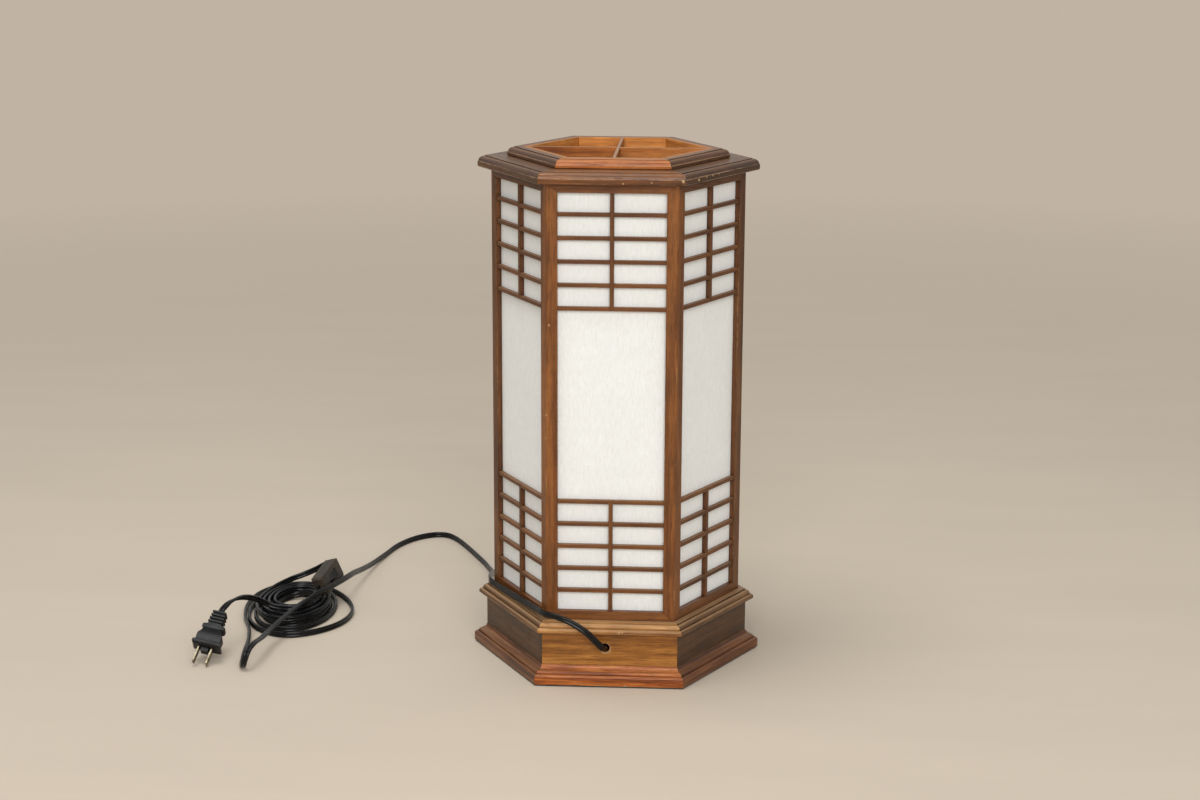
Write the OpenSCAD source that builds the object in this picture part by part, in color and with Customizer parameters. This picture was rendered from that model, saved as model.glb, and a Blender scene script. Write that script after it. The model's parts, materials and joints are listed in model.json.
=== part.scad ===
// Six-sided table lamp with rice paper windows, a wooden plinth and an open moulded cap.
// Millimetres, +Z up. The origin is the middle of the foot on the surface it stands on.
// Side 0 of the hexagon faces -Y, and the corners lie on the X axis.

/* [Plinth] */
// Height of the whole plinth, from the surface to the body
plinth_h = 58.5; // [54:0.5:90]
// Thickness of the felt under the foot
felt_t = 1.5; // [1:0.1:3]
// How far the felt's edge lies inside the foot's face
felt_inset = 1; // [0.5:0.1:4]
// Height of the foot's upright face
foot_face_h = 6.7; // [5:0.1:12]
// How far the foot's face stands out from the panels
foot_out = 10.6; // [9.5:0.1:14]
// How far the panels stand out from the body's faces
panel_out = 6.2; // [4:0.1:9]
// Thickness of the plinth panels
panel_t = 10; // [6:0.5:12]
// Height of the ledge moulding
ledge_h = 9.8; // [9.5:0.1:14]
// How far the ledge's nose stands out from the panels
ledge_out = 6.5; // [5.5:0.1:9]
// Thickness of the base board
board_t = 9; // [6:0.5:9.5]
// Radius of the cord hole in the front panel
cord_hole_r = 4.2; // [3.6:0.1:5]
// Height of the cord hole's centre
cord_hole_z = 34.2; // [32:0.1:36]
// Sideways place of the cord hole
cord_hole_x = -4; // [-8:0.5:8]

/* [Body] */
// Width of the body, corner to corner
body_across = 231.2; // [200:0.2:270]
// Height of the body
body_h = 397.2; // [330:0.2:460]
// Width of each stile as seen on a face
stile_w = 10.2; // [9:0.1:14]
// Height of the top and bottom rails
rail_h = 8.4; // [7.5:0.1:14]
// Depth of posts and rails
frame_d = 8.6; // [8.5:0.1:9]
// How far the paper is set back from the frame's face
paper_back = 5.1; // [5:0.1:5.2]
// Width of the rebate that holds the paper
rebate_w = 4; // [3:0.1:4.5]
// Thickness of the rice paper
paper_t = 0.3; // [0.2:0.05:0.4]
// Thickness of the strips that hold the paper
stop_t = 3; // [2:0.1:3]

/* [Lattice] */
// Height of a lattice bar
bar_h = 3.4; // [2.6:0.1:5]
// Depth of a lattice bar
bar_d = 4.4; // [3:0.1:4.8]
// Width of the upright bar
upright_w = 3.6; // [2.6:0.1:6]
// Clear height of a lattice cell
cell_h = 17.4; // [12:0.1:22]
// Bars in each lattice
bar_count = 5; // [2:1:6]

/* [Cap] */
// How far the cap's edge stands out from the body's faces
cap_out = 10.9; // [9:0.1:20]
// Thickness of the cap
cap_h = 10.5; // [10:0.1:16]
// Height of the upright band on the cap's edge
cap_band_h = 5.3; // [4:0.1:5.5]
// How far the crown's edge lies inside the cap's
crown_back = 23.45; // [18:0.05:28]
// Height of the crown above the cap
crown_h = 8.3; // [8:0.1:12]
// Height of the upright band on the crown's edge
crown_band_h = 3.4; // [2.8:0.1:3.6]
// Width of the crown from its edge to the mouth
crown_w = 17; // [14:0.1:22]
// Thickness of the liner round the mouth
liner_t = 4.6; // [3:0.1:6]
// Thickness of the two cross boards
cross_t = 2.8; // [2:0.1:6]
// Depth of the two cross boards
cross_h = 18; // [12:0.5:18.5]

/* [Lamp holder] */
// Outer radius of the threaded nipple
nipple_r = 5; // [4.8:0.1:5.6]
// Radius of the nipple's bore
nipple_bore_r = 3.6; // [3.5:0.1:4]
// Radius of the bulb's screw base
bulb_base_r = 13; // [12:0.1:13.3]
// Largest radius of the bulb
bulb_r = 30; // [24:0.5:40]
// Length of the bulb's glass above its base
bulb_glass_h = 82; // [70:1:110]

/* [Cord set] */
// Width of the flat twin cord
cord_w = 6; // [5.6:0.1:6.2]
// Thickness of the flat twin cord
cord_t = 3; // [2.6:0.1:3.1]
// Length of the inline switch
switch_l = 42; // [40:1:46]
// Width of the inline switch
switch_w = 20; // [19:0.5:22]
// Thickness of the inline switch
switch_t = 13; // [12.5:0.5:14]
// Wall of the switch's two shells
switch_wall = 1.8; // [1.4:0.1:2.2]
// Length of the rocker
rocker_l = 18; // [15:0.5:18.5]
// Width of the rocker
rocker_w = 9.4; // [7:0.2:11]
// Radius of the rocker's pin
rocker_pin_r = 1.2; // [1:0.1:1.5]
// Swing of the rocker from one side to the other, in degrees
rocker_swing = 14; // [10:1:16]
// Length of the plug's moulded body with its strain relief
plug_l = 40; // [38:0.5:42]
// Width of the plug's flange
plug_w = 27; // [25:0.5:29]
// Thickness of the plug's body
plug_t = 15; // [13:0.5:17]
// Exposed length of the plug's blades
blade_l = 16.5; // [15.5:0.1:18]
// Width of a blade
blade_w = 6.3; // [6:0.1:6.6]
// Thickness of a blade
blade_t = 1.5; // [1.3:0.1:1.8]
// Distance between the blades' middles
blade_pitch = 12.7; // [12:0.1:13]

/* [Hidden] */

// Clearances
mitre_gap = 0.1;   // open line of a mitre
glue_gap = 0.05;   // between pieces that are glued in one group
slip = 0.3;        // between a loose piece and what it lies in
turn_gap = 0.05;   // radial clearance of a turning pin

// Distances from the axis to the hexagon's flat sides
cos30 = cos(30);
tan30 = tan(30);
body_rho = body_across / 2 * cos30;
panel_rho = body_rho + panel_out;
panel_in = panel_rho - panel_t;
foot_rho = panel_rho + foot_out;
ledge_rho = panel_rho + ledge_out;
frame_in = body_rho - frame_d;
ledge_in = frame_in - 3;
rebate_x = body_rho - paper_back;
cap_rho = body_rho + cap_out;
crown_rho = cap_rho - crown_back;
mouth_rho = crown_rho - crown_w;
mouth_across = 2 * mouth_rho / cos30;
liner_out = mouth_rho + liner_t;
cap_in = liner_out + slip;

// Heights
panel_top = plinth_h - ledge_h;
body_top = plinth_h + body_h;
cap_top = body_top + cap_h;
crown_top = cap_top + crown_h;
open_z0 = plinth_h + rail_h;
open_z1 = body_top - rail_h;
board_top = panel_top + board_t;

// Half widths on one side of the body
side_half = body_across / 4;
open_half = side_half - stile_w;

walnut = "#6b4429";
walnut_dark = "#4a2f1f";
walnut_light = "#9a6434";
dusty = "#8a7a66";
brass = "#b08d4a";
black = "#1d1d1e";

// A quarter turn or other part of a circle, as points
function arc(cx, cy, r, from, to, steps = 5) =
    [for (i = [0:steps]) let (a = from + (to - from) * i / steps) [cx + r * cos(a), cy + r * sin(a)]];

// The plan of one mitred side: x is the distance from the axis, y runs along the side
module side_plan(inner, outer, gap) {
    polygon([
        [inner, (inner - gap) * tan30],
        [outer, (outer - gap) * tan30],
        [outer, -(outer - gap) * tan30],
        [inner, -(inner - gap) * tan30]
    ]);
}

// Turns a piece that is drawn for the side facing +X to side k
module on_side(k) {
    rotate([0, 0, 60 * k - 90]) children();
}

// A straight mitred moulding on side k, from its profile of distance and height
module moulding(k, profile, outer, gap) {
    on_side(k)
        intersection() {
            translate([0, outer, 0]) rotate([90, 0, 0]) linear_extrude(2 * outer) polygon(profile);
            linear_extrude(2 * crown_top) side_plan(1, outer + 1, gap);
        }
}

// A flat mitred board on side k
module side_board(k, inner, outer, bottom, top, gap) {
    on_side(k) translate([0, 0, bottom]) linear_extrude(top - bottom) side_plan(inner, outer, gap);
}

// Plinth

module felt_strips() {
    color(black)
        for (k = [0:5]) side_board(k, panel_in + 2, foot_rho - felt_inset, 0, felt_t, mitre_gap);
}

foot_step = 0.6;      // width and depth of the quirks on the foot
foot_round_r = 2.2;   // roundings of the foot's shoulder and bead

function foot_profile() =
    let (
        face_top = felt_t + foot_face_h,
        shoulder_x = foot_rho - foot_round_r,
        quirk_x = shoulder_x - foot_step,
        bead_x = quirk_x - foot_step,
        bead_z = face_top + foot_round_r + foot_step,
        cove_x = bead_x - foot_round_r,
        cove_z = bead_z + foot_round_r,
        cove_r = cove_x - panel_rho - foot_step
    )
    concat(
        [[panel_rho, felt_t], [foot_rho, felt_t]],
        arc(shoulder_x, face_top, foot_round_r, 0, 90),
        [[quirk_x, face_top + foot_round_r], [quirk_x, face_top + foot_round_r - foot_step]],
        [[bead_x, face_top + foot_round_r - foot_step]],
        arc(cove_x, bead_z, foot_round_r, 0, 90),
        arc(cove_x, cove_z + cove_r, cove_r, 270, 180),
        [[panel_rho, cove_z + cove_r]]
    );

module foot_mouldings() {
    color(walnut_light)
        for (k = [0:5]) moulding(k, foot_profile(), foot_rho, mitre_gap);
}

module plinth_panel(k) {
    side_board(k, panel_in, panel_rho, felt_t, panel_top, mitre_gap);
}

module plinth_panel_front() {
    color(walnut_light)
        difference() {
            plinth_panel(0);
            translate([cord_hole_x, -panel_in + 1, cord_hole_z])
                rotate([90, 0, 0]) cylinder(h = panel_t + 2, r = cord_hole_r, $fn = 48);
        }
}

module plinth_panels() {
    color(walnut) for (k = [1:5]) plinth_panel(k);
}

ledge_nose_r = 2.2;    // rounding of the ledge's nose
ledge_ovolo_r = 3.0;   // rounding above the nose
ledge_quirk = 0.5;     // depth of the two small grooves

function ledge_profile() =
    let (
        nose_z = panel_top + 2.3,
        nose_x = ledge_rho - ledge_nose_r,
        step_z = nose_z + ledge_nose_r,
        ovolo_z = step_z + 1,
        ovolo_x = nose_x - 2 * ledge_quirk - ledge_ovolo_r,
        top_z = min(ovolo_z + ledge_ovolo_r, plinth_h - ledge_quirk)
    )
    concat(
        [[ledge_in, panel_top], [ledge_rho - 0.8, panel_top], [ledge_rho, panel_top + 0.8]],
        arc(nose_x, nose_z, ledge_nose_r, 0, 90),
        [[nose_x - ledge_quirk, step_z], [nose_x - ledge_quirk, step_z - ledge_quirk]],
        [[nose_x - 2 * ledge_quirk, step_z - ledge_quirk]],
        arc(ovolo_x, top_z - ledge_ovolo_r, ledge_ovolo_r, 0, 90),
        [[ovolo_x - ledge_quirk, top_z], [ovolo_x - ledge_quirk, top_z - ledge_quirk]],
        [[ovolo_x - 2 * ledge_quirk, top_z - ledge_quirk], [ovolo_x - 2 * ledge_quirk, plinth_h]],
        [[ledge_in, plinth_h]]
    );

module ledge_mouldings() {
    color(walnut_light)
        for (k = [0:5]) moulding(k, ledge_profile(), ledge_rho, mitre_gap);
}

board_rho = ledge_in - slip;
block_corner = panel_in / cos30;
screw_inset = 18.2;      // from the blocks' inner corners to the board's screws
screw_ring_r = block_corner - screw_inset;
screw_r = 2;             // shank of the board's screws
screw_head_r = 4;        // head of the board's screws
screw_head_h = 2.2;
screw_l = 24;            // length under the head
block_foot = 12;         // height of the blocks' lower ends above the surface
block_leg = 18;          // length of a block along each panel
block_depth = 27.2;      // how far a block reaches in from its corner

module screw_holes(bottom, height) {
    for (k = [0:5]) rotate([0, 0, 60 * k])
        translate([screw_ring_r, 0, bottom]) cylinder(h = height, r = screw_r, $fn = 32);
}

module base_board() {
    color("#b9935f")
        difference() {
            translate([0, 0, panel_top]) cylinder(h = board_t, r = board_rho / cos30, $fn = 6);
            translate([0, 0, panel_top - 1]) cylinder(h = board_t + 2, r = nipple_r + turn_gap, $fn = 48);
            screw_holes(panel_top - 1, board_t + 2);
        }
}

module base_blocks() {
    color("#b9935f")
        difference() {
            for (k = [0:5]) rotate([0, 0, 60 * k]) translate([0, 0, block_foot])
                linear_extrude(panel_top - block_foot) polygon([
                    [block_corner, 0],
                    [block_corner - block_leg / 2, block_leg * cos30],
                    [block_corner - block_depth, 0],
                    [block_corner - block_leg / 2, -block_leg * cos30]
                ]);
            screw_holes(board_top - screw_l, screw_l);
        }
}

module base_screws() {
    color(brass)
        for (k = [0:5]) rotate([0, 0, 60 * k]) translate([screw_ring_r, 0, board_top]) {
            cylinder(h = screw_head_h, r = screw_head_r, $fn = 32);
            translate([0, 0, -screw_l]) cylinder(h = screw_l + 1, r = screw_r, $fn = 32);
        }
}

// Body

arris_core = 1.5;     // what a post keeps beside its arris, where the rails meet it on a mitre
rail_cut = 1;         // how far the cut for a rail runs past the post's faces

// A rail with its ends on a mitre. For the cut in the posts it is longer and deeper all round.
module rail_blank(k, top, gap, over) {
    away = top ? 1 : -1;
    end_y = side_half - arris_core;
    slope = rail_h / (end_y - open_half);
    on_side(k)
        intersection() {
            translate([frame_in - over, 0, top ? open_z1 : open_z0]) rotate([90, 0, 90])
                linear_extrude(frame_d + 2 * over) polygon([
                    [over - open_half, -away * over * slope],
                    [open_half - over, -away * over * slope],
                    [end_y + over, away * (rail_h + over * slope)],
                    [-end_y - over, away * (rail_h + over * slope)]
                ]);
            linear_extrude(2 * crown_top) side_plan(1, body_rho + 2 * rail_cut, gap);
        }
}

// The rebate behind the frame's opening, which holds the paper and its stops
module rebate(k) {
    on_side(k)
        translate([frame_in - 1, -open_half - rebate_w, open_z0 - rebate_w])
            cube([rebate_x - frame_in + 1, 2 * (open_half + rebate_w), open_z1 - open_z0 + 2 * rebate_w]);
}

module corner_post(k) {
    corner_x = body_rho / cos30;
    along = stile_w;
    color(walnut)
        difference() {
            rotate([0, 0, 60 * k - 60]) translate([0, 0, plinth_h]) linear_extrude(body_h) polygon([
                [corner_x, 0],
                [corner_x - along / 2, along * cos30],
                [corner_x - along / 2 - frame_d * cos30, along * cos30 - frame_d / 2],
                [frame_in / cos30, 0],
                [corner_x - along / 2 - frame_d * cos30, -along * cos30 + frame_d / 2],
                [corner_x - along / 2, -along * cos30]
            ]);
            for (side = [k, k + 1]) {
                rail_blank(side, true, -mitre_gap, rail_cut);
                rail_blank(side, false, -mitre_gap, rail_cut);
                rebate(side);
            }
        }
}

module rails(top) {
    color(walnut)
        for (k = [0:5])
            difference() {
                rail_blank(k, top, mitre_gap, 0);
                rebate(k);
            }
}

module top_rails() {
    rails(true);
}

module bottom_rails() {
    rails(false);
}

// A lattice's bars run from stile to stile, and its upright is half-lapped over them.
// step_up is 1 where the cells are counted up from the bottom rail, and -1 down from the top rail.
module lattice(k, z_start, step_up) {
    pitch = cell_h + bar_h;
    reach = bar_count * pitch;
    lap_x = rebate_x + bar_d / 2;
    color(walnut_dark)
        on_side(k) {
            for (i = [1:bar_count])
                translate([0, 0, z_start + step_up * (i * pitch - bar_h / 2)])
                    difference() {
                        translate([rebate_x, -open_half, -bar_h / 2]) cube([bar_d, 2 * open_half, bar_h]);
                        translate([lap_x - glue_gap / 2, -upright_w / 2 - glue_gap, -bar_h])
                            cube([bar_d, upright_w + 2 * glue_gap, 2 * bar_h]);
                    }
            difference() {
                translate([rebate_x, -upright_w / 2, step_up > 0 ? z_start : z_start - reach])
                    cube([bar_d, upright_w, reach]);
                for (i = [1:bar_count])
                    translate([rebate_x - 1, -upright_w,
                               z_start + step_up * (i * pitch - bar_h / 2) - bar_h / 2 - glue_gap])
                        cube([bar_d / 2 + glue_gap / 2 + 1, 2 * upright_w, bar_h + 2 * glue_gap]);
            }
        }
}

module lattice_upper(k) {
    lattice(k, open_z1, -1);
}

module lattice_lower(k) {
    lattice(k, open_z0, 1);
}

paper_half = open_half + rebate_w - slip;

module paper(k) {
    color("#efece4")
        on_side(k)
            translate([rebate_x - paper_t, -paper_half, open_z0 - rebate_w + slip])
                cube([paper_t, 2 * paper_half, open_z1 - open_z0 + 2 * (rebate_w - slip)]);
}

module paper_stops() {
    strip_w = rebate_w - 2 * slip;
    strip_x = rebate_x - paper_t - stop_t;
    strip_z0 = open_z0 - rebate_w + slip;
    strip_z1 = open_z1 + rebate_w - slip;
    color(walnut)
        for (k = [0:5]) on_side(k) {
            for (s = [-1, 1])
                translate([strip_x, s > 0 ? open_half + slip : -open_half - slip - strip_w, strip_z0])
                    cube([stop_t, strip_w, strip_z1 - strip_z0]);
            for (z = [strip_z0, strip_z1 - strip_w])
                translate([strip_x, -open_half - slip / 2, z])
                    cube([stop_t, 2 * open_half + slip, strip_w]);
        }
}

// Top

cap_quirk = 0.7;      // width and depth of the grooves on the cap and crown

// The edge that the cap and the crown share: a band, a step, an ovolo and a groove
function cap_profile(inner, outer, bottom, top, band) =
    let (
        ovolo_r = top - bottom - band - cap_quirk,
        ovolo_x = outer - cap_quirk - ovolo_r,
        ovolo_z = bottom + band
    )
    concat(
        [[inner, bottom], [outer - 0.8, bottom], [outer, bottom + 0.8]],
        [[outer, ovolo_z - 0.4], [outer - 0.4, ovolo_z], [outer - cap_quirk, ovolo_z]],
        arc(ovolo_x, ovolo_z, ovolo_r, 0, 90),
        [[ovolo_x - 0.3, ovolo_z + ovolo_r], [ovolo_x - 0.3, ovolo_z + ovolo_r - cap_quirk]],
        [[ovolo_x - 0.3 - cap_quirk, ovolo_z + ovolo_r - cap_quirk], [ovolo_x - 0.3 - cap_quirk, top]],
        [[inner, top]]
    );

module cap_boards() {
    color(walnut_dark)
        for (k = [0:5])
            moulding(k, cap_profile(cap_in, cap_rho, body_top, cap_top, cap_band_h), cap_rho, mitre_gap);
}

module crown_mouldings() {
    color(walnut_light)
        for (k = [0:5])
            moulding(k, cap_profile(liner_out, crown_rho, cap_top, crown_top, crown_band_h),
                     crown_rho, mitre_gap);
}

module crown_liner() {
    color(walnut_light)
        for (k = [0:5]) side_board(k, mouth_rho, liner_out, body_top, crown_top, mitre_gap);
}

// A cross board before its half-lap is cut, as wide as the mouth
module cross_blank(turn) {
    intersection() {
        translate([0, 0, crown_top - cross_h])
            cylinder(h = cross_h, r = mouth_across / 2, $fn = 6);
        rotate([0, 0, turn])
            translate([-mouth_across, -cross_t / 2, crown_top - cross_h])
                cube([2 * mouth_across, cross_t, cross_h]);
    }
}

module cross_board_long() {
    color(walnut)
        difference() {
            cross_blank(0);
            translate([-cross_t / 2 - glue_gap, -cross_t, crown_top - cross_h / 2])
                cube([cross_t + 2 * glue_gap, 2 * cross_t, cross_h]);
        }
}

module cross_board_short() {
    color(walnut)
        difference() {
            cross_blank(90);
            translate([-cross_t, -cross_t / 2 - glue_gap, crown_top - 1.5 * cross_h])
                cube([2 * cross_t, cross_t + 2 * glue_gap, cross_h]);
        }
}

// Lamp holder

nut_r = 8.5;             // half the width of the lock nuts, corner to corner
nut_h = 4;
nipple_z0 = panel_top - nut_h - 4;
hub_z = board_top + nut_h;
cup_r = bulb_base_r + 4.2;
cup_z = hub_z + 9;
cup_wall = 0.8;
shell_r = cup_r - cup_wall - 0.2;
holder_h = 50;
shell_top = cup_z + holder_h;
insert_r = shell_r - cup_wall - 0.2;
insert_z = cup_z + cup_wall;
insert_h = 14;
screw_shell_r = bulb_base_r + 0.35;
screw_shell_h = 28;
contact_h = 2.2;
seat_z = insert_z + insert_h;
base_z = seat_z + contact_h + turn_gap;
base_h = 26;

module nipple() {
    color(brass)
        translate([0, 0, nipple_z0])
            difference() {
                cylinder(h = hub_z + 5 - nipple_z0, r = nipple_r, $fn = 48);
                translate([0, 0, -1]) cylinder(h = hub_z + 10, r = nipple_bore_r, $fn = 48);
            }
}

module nipple_nuts() {
    color(brass)
        for (z = [panel_top - nut_h, board_top])
            translate([0, 0, z])
                difference() {
                    cylinder(h = nut_h, r = nut_r, $fn = 6);
                    translate([0, 0, -1]) cylinder(h = nut_h + 2, r = nipple_r + turn_gap, $fn = 48);
                }
}

module holder_cap() {
    hub_r = nipple_r + 3;
    color(brass)
        rotate_extrude($fn = 64) polygon([
            [nipple_r + turn_gap, hub_z],
            [hub_r, hub_z],
            [hub_r, hub_z + 4],
            [cup_r - 4, cup_z],
            [cup_r, cup_z],
            [cup_r, cup_z + 13],
            [cup_r - cup_wall, cup_z + 13],
            [cup_r - cup_wall, insert_z],
            [cup_r - 4.4, insert_z],
            [hub_r - 0.4, hub_z + 5],
            [nipple_r + turn_gap, hub_z + 5]
        ]);
}

module holder_shell() {
    color(brass)
        rotate_extrude($fn = 64) polygon([
            [shell_r - cup_wall, insert_z],
            [shell_r, insert_z],
            [shell_r, shell_top],
            [shell_r - cup_wall, shell_top]
        ]);
}

module holder_insert() {
    color(black)
        translate([0, 0, insert_z])
            difference() {
                cylinder(h = insert_h, r = insert_r, $fn = 64);
                translate([0, 0, insert_h - 8]) cylinder(h = 9, r = 2.3, $fn = 32);
            }
}

module screw_shell() {
    color(brass)
        translate([0, 0, seat_z])
            difference() {
                cylinder(h = screw_shell_h, r = screw_shell_r + 0.7, $fn = 64);
                translate([0, 0, -1]) cylinder(h = screw_shell_h + 2, r = screw_shell_r, $fn = 64);
            }
}

module centre_contact() {
    color(brass)
        translate([0, 0, seat_z]) {
            cylinder(h = contact_h, r = 3.5, $fn = 32);
            translate([0, 0, -7.9]) cylinder(h = 8, r = 2.25, $fn = 32);
        }
}

module bulb_base() {
    color("silver")
        rotate_extrude($fn = 64) polygon([
            [0, base_z],
            [4, base_z],
            [5.5, base_z + 1.2],
            [bulb_base_r, base_z + 4.5],
            [bulb_base_r, base_z + base_h - 1],
            [bulb_base_r - 0.8, base_z + base_h],
            [0, base_z + base_h]
        ]);
}

bulb_flare_end = 35;     // angle below the globe's middle at which the flare meets it

// The bulb's outline: a straight neck, a flare and a round top
function bulb_outline(wall) =
    let (
        neck_r = bulb_base_r - 1,
        z0 = base_z + base_h,
        globe_z = z0 + bulb_glass_h - bulb_r,
        flare_h = globe_z - bulb_r * sin(bulb_flare_end) - z0,
        flare_r = bulb_r * cos(bulb_flare_end) - neck_r
    )
    concat(
        [[neck_r - wall, z0], [neck_r - wall, z0 + flare_h * 0.2]],
        [[neck_r + flare_r * 0.25 - wall, z0 + flare_h * 0.55]],
        arc(0, globe_z, bulb_r - wall, -bulb_flare_end, 90, 14)
    );

module bulb_glass() {
    color([0.95, 0.95, 0.9, 0.6])
        rotate_extrude($fn = 64)
            polygon(concat(bulb_outline(0), [for (i = [17:-1:0]) bulb_outline(0.9)[i]]));
}

// Inline switch, in a frame of its own: Y along the cord, Z out of the rocker's face

switch_at = [-293.7, 95.6, 28.4];  // middle of the switch
switch_turn = [13, 72, -12.5];     // pitch, roll and heading of the switch
switch_taper_l = 2.5;          // length of the narrowing at each end
switch_end_in = 1.5;           // how far each side comes in at the ends
switch_end_down = 1;           // how far each face comes in at the ends
rocker_gap = 0.3;
rocker_depth = 4;              // from the switch's face down to the rocker's pin
rocker_ear = 1.2;              // how far each end of the pin stands out
rocker_proud = 0.4;            // how far the rocker's ends would stand over the switch's face
rocker_dip = 2;                // how far the rocker's middle lies below its ends
rocker_keel = 2.6;             // how far the rocker reaches below its pin
rocker_keel_half = 3;          // half the length of that keel
collar_t = 2;                  // thickness of the collar round the rocker
rocker_pin_z = switch_t / 2 - rocker_depth;
switch_screw_r = 1.25;
switch_boss_r = 2.65;          // post round each screw
switch_screw_y = (rocker_l / 2 + rocker_gap + collar_t + switch_l / 2 - switch_wall) / 2;
switch_screw_grip = 3;         // how far the screws reach into the top shell
switch_head_z = 3.6;           // how far the screws' heads lie below the joint of the shells
switch_head_h = 1;

// Places a piece of the switch where the switch lies
module in_switch() {
    translate(switch_at)
        rotate([0, 0, switch_turn[2]]) rotate([switch_turn[0], 0, 0]) rotate([0, switch_turn[1], 0])
            children();
}

// The switch's outer form, drawn in by an even wall
module switch_form(wall) {
    end_y = switch_l / 2 - wall;
    mid_y = switch_l / 2 - switch_taper_l;
    side = switch_w / 2 - wall;
    face = switch_t / 2 - wall;
    end_x = side - switch_end_in;
    end_z = face - switch_end_down;
    intersection() {
        translate([0, 0, -switch_t]) linear_extrude(2 * switch_t) polygon([
            [end_x, end_y], [side, mid_y], [side, -mid_y], [end_x, -end_y],
            [-end_x, -end_y], [-side, -mid_y], [-side, mid_y], [-end_x, end_y]
        ]);
        rotate([90, 0, 90]) translate([0, 0, -switch_w]) linear_extrude(2 * switch_w) polygon([
            [end_y, end_z], [mid_y, face], [-mid_y, face], [-end_y, end_z],
            [-end_y, -end_z], [-mid_y, -face], [mid_y, -face], [end_y, -end_z]
        ]);
    }
}

module switch_half(top) {
    intersection() {
        switch_form(0);
        translate([-switch_w, -switch_l, top ? 0 : -switch_t]) cube([2 * switch_w, 2 * switch_l, switch_t]);
    }
}

module switch_top_shell() {
    hole_x = rocker_w / 2 + rocker_gap;
    hole_y = rocker_l / 2 + rocker_gap;
    color("#3b3430")
        in_switch()
            difference() {
                union() {
                    difference() {
                        switch_half(true);
                        switch_form(switch_wall);
                    }
                    intersection() {
                        switch_half(true);
                        translate([-hole_x - collar_t, -hole_y - collar_t, 1])
                            cube([2 * (hole_x + collar_t), 2 * (hole_y + collar_t), switch_t]);
                    }
                    intersection() {
                        switch_half(true);
                        for (s = [-1, 1]) translate([0, s * switch_screw_y, 0])
                            cylinder(h = switch_t, r = switch_boss_r, $fn = 32);
                    }
                }
                translate([-hole_x, -hole_y, -1]) cube([2 * hole_x, 2 * hole_y, switch_t]);
                translate([-hole_x - rocker_ear - rocker_gap, 0, rocker_pin_z]) rotate([0, 90, 0])
                    cylinder(
                        h = 2 * (hole_x + rocker_ear + rocker_gap), r = rocker_pin_r + turn_gap, $fn = 32
                    );
                for (s = [-1, 1]) translate([0, s * switch_screw_y, -1])
                    cylinder(h = switch_screw_grip + 1.5, r = switch_screw_r, $fn = 32);
            }
}

module switch_bottom_shell() {
    color("#3b3430")
        in_switch()
            difference() {
                union() {
                    difference() {
                        switch_half(false);
                        switch_form(switch_wall);
                    }
                    intersection() {
                        switch_half(false);
                        for (s = [-1, 1]) translate([0, s * switch_screw_y, -switch_t])
                            cylinder(h = switch_t, r = switch_boss_r, $fn = 32);
                    }
                }
                for (s = [-1, 1]) translate([0, s * switch_screw_y, -switch_t])
                    cylinder(h = 2 * switch_t, r = switch_screw_r, $fn = 32);
                for (s = [-1, 1]) translate([0, s * switch_screw_y, -switch_t])
                    cylinder(h = switch_t - switch_head_z, r = 2 * switch_screw_r, $fn = 32);
            }
}

module switch_screws() {
    color("silver")
        in_switch()
            for (s = [-1, 1]) translate([0, s * switch_screw_y, -switch_head_z]) {
                translate([0, 0, -switch_head_h])
                    cylinder(h = switch_head_h, r = 2 * switch_screw_r - turn_gap, $fn = 32);
                cylinder(h = switch_head_z + switch_screw_grip, r = switch_screw_r, $fn = 32);
            }
}

// The rocker lies with its near end down, at one end of its swing
module switch_rocker() {
    end_z = rocker_depth + rocker_proud;
    color(black)
        in_switch()
            translate([0, 0, rocker_pin_z]) rotate([rocker_swing / 2, 0, 0]) {
                intersection() {
                    rotate([0, 90, 0]) translate([0, 0, -rocker_w / 2])
                        cylinder(h = rocker_w, r = rocker_l / 2, $fn = 64);
                    rotate([90, 0, 90]) translate([0, 0, -rocker_w / 2 - 1])
                        linear_extrude(rocker_w + 2) polygon([
                            [-rocker_l, end_z + 1],
                            [0, end_z - rocker_dip + rocker_proud],
                            [rocker_l, end_z + 1],
                            [rocker_l, rocker_proud],
                            [rocker_keel_half, -rocker_keel],
                            [-rocker_keel_half, -rocker_keel],
                            [-rocker_l, rocker_proud]
                        ]);
                }
                translate([-rocker_w / 2 - rocker_ear, 0, 0]) rotate([0, 90, 0])
                    cylinder(h = rocker_w + 2 * rocker_ear, r = rocker_pin_r, $fn = 32);
            }
}

// Plug, in a frame of its own: Y from the blades' tips to the strain relief

plug_at = [-380.4, -90, 3.8];   // middle of the blades' tips
plug_turn = [36.7, 12, -14.3];  // pitch, roll and heading of the plug
blade_hole_r = 1.6;
blade_hole_y = 4;               // from the blades' tips to their holes
relief_l = 15.5;                // strain relief
relief_w = 12;
relief_t = 9;
rib_count = 4;
rib_pitch = 3.6;
rib_out = 1.1;
blade_root = 4;                 // length of a blade inside the body

module in_plug() {
    translate(plug_at)
        rotate([0, 0, plug_turn[2]]) rotate([plug_turn[0], 0, 0]) rotate([0, plug_turn[1], 0])
            children();
}

module blade_blanks() {
    for (s = [-1, 1])
        translate([s * blade_pitch / 2 - blade_t / 2, 0, -blade_w / 2])
            cube([blade_t, blade_l + blade_root, blade_w]);
}

module plug_blades() {
    color("silver")
        in_plug()
            difference() {
                blade_blanks();
                translate([-blade_pitch, blade_hole_y, 0]) rotate([0, 90, 0])
                    cylinder(h = 2 * blade_pitch, r = blade_hole_r, $fn = 32);
            }
}

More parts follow.
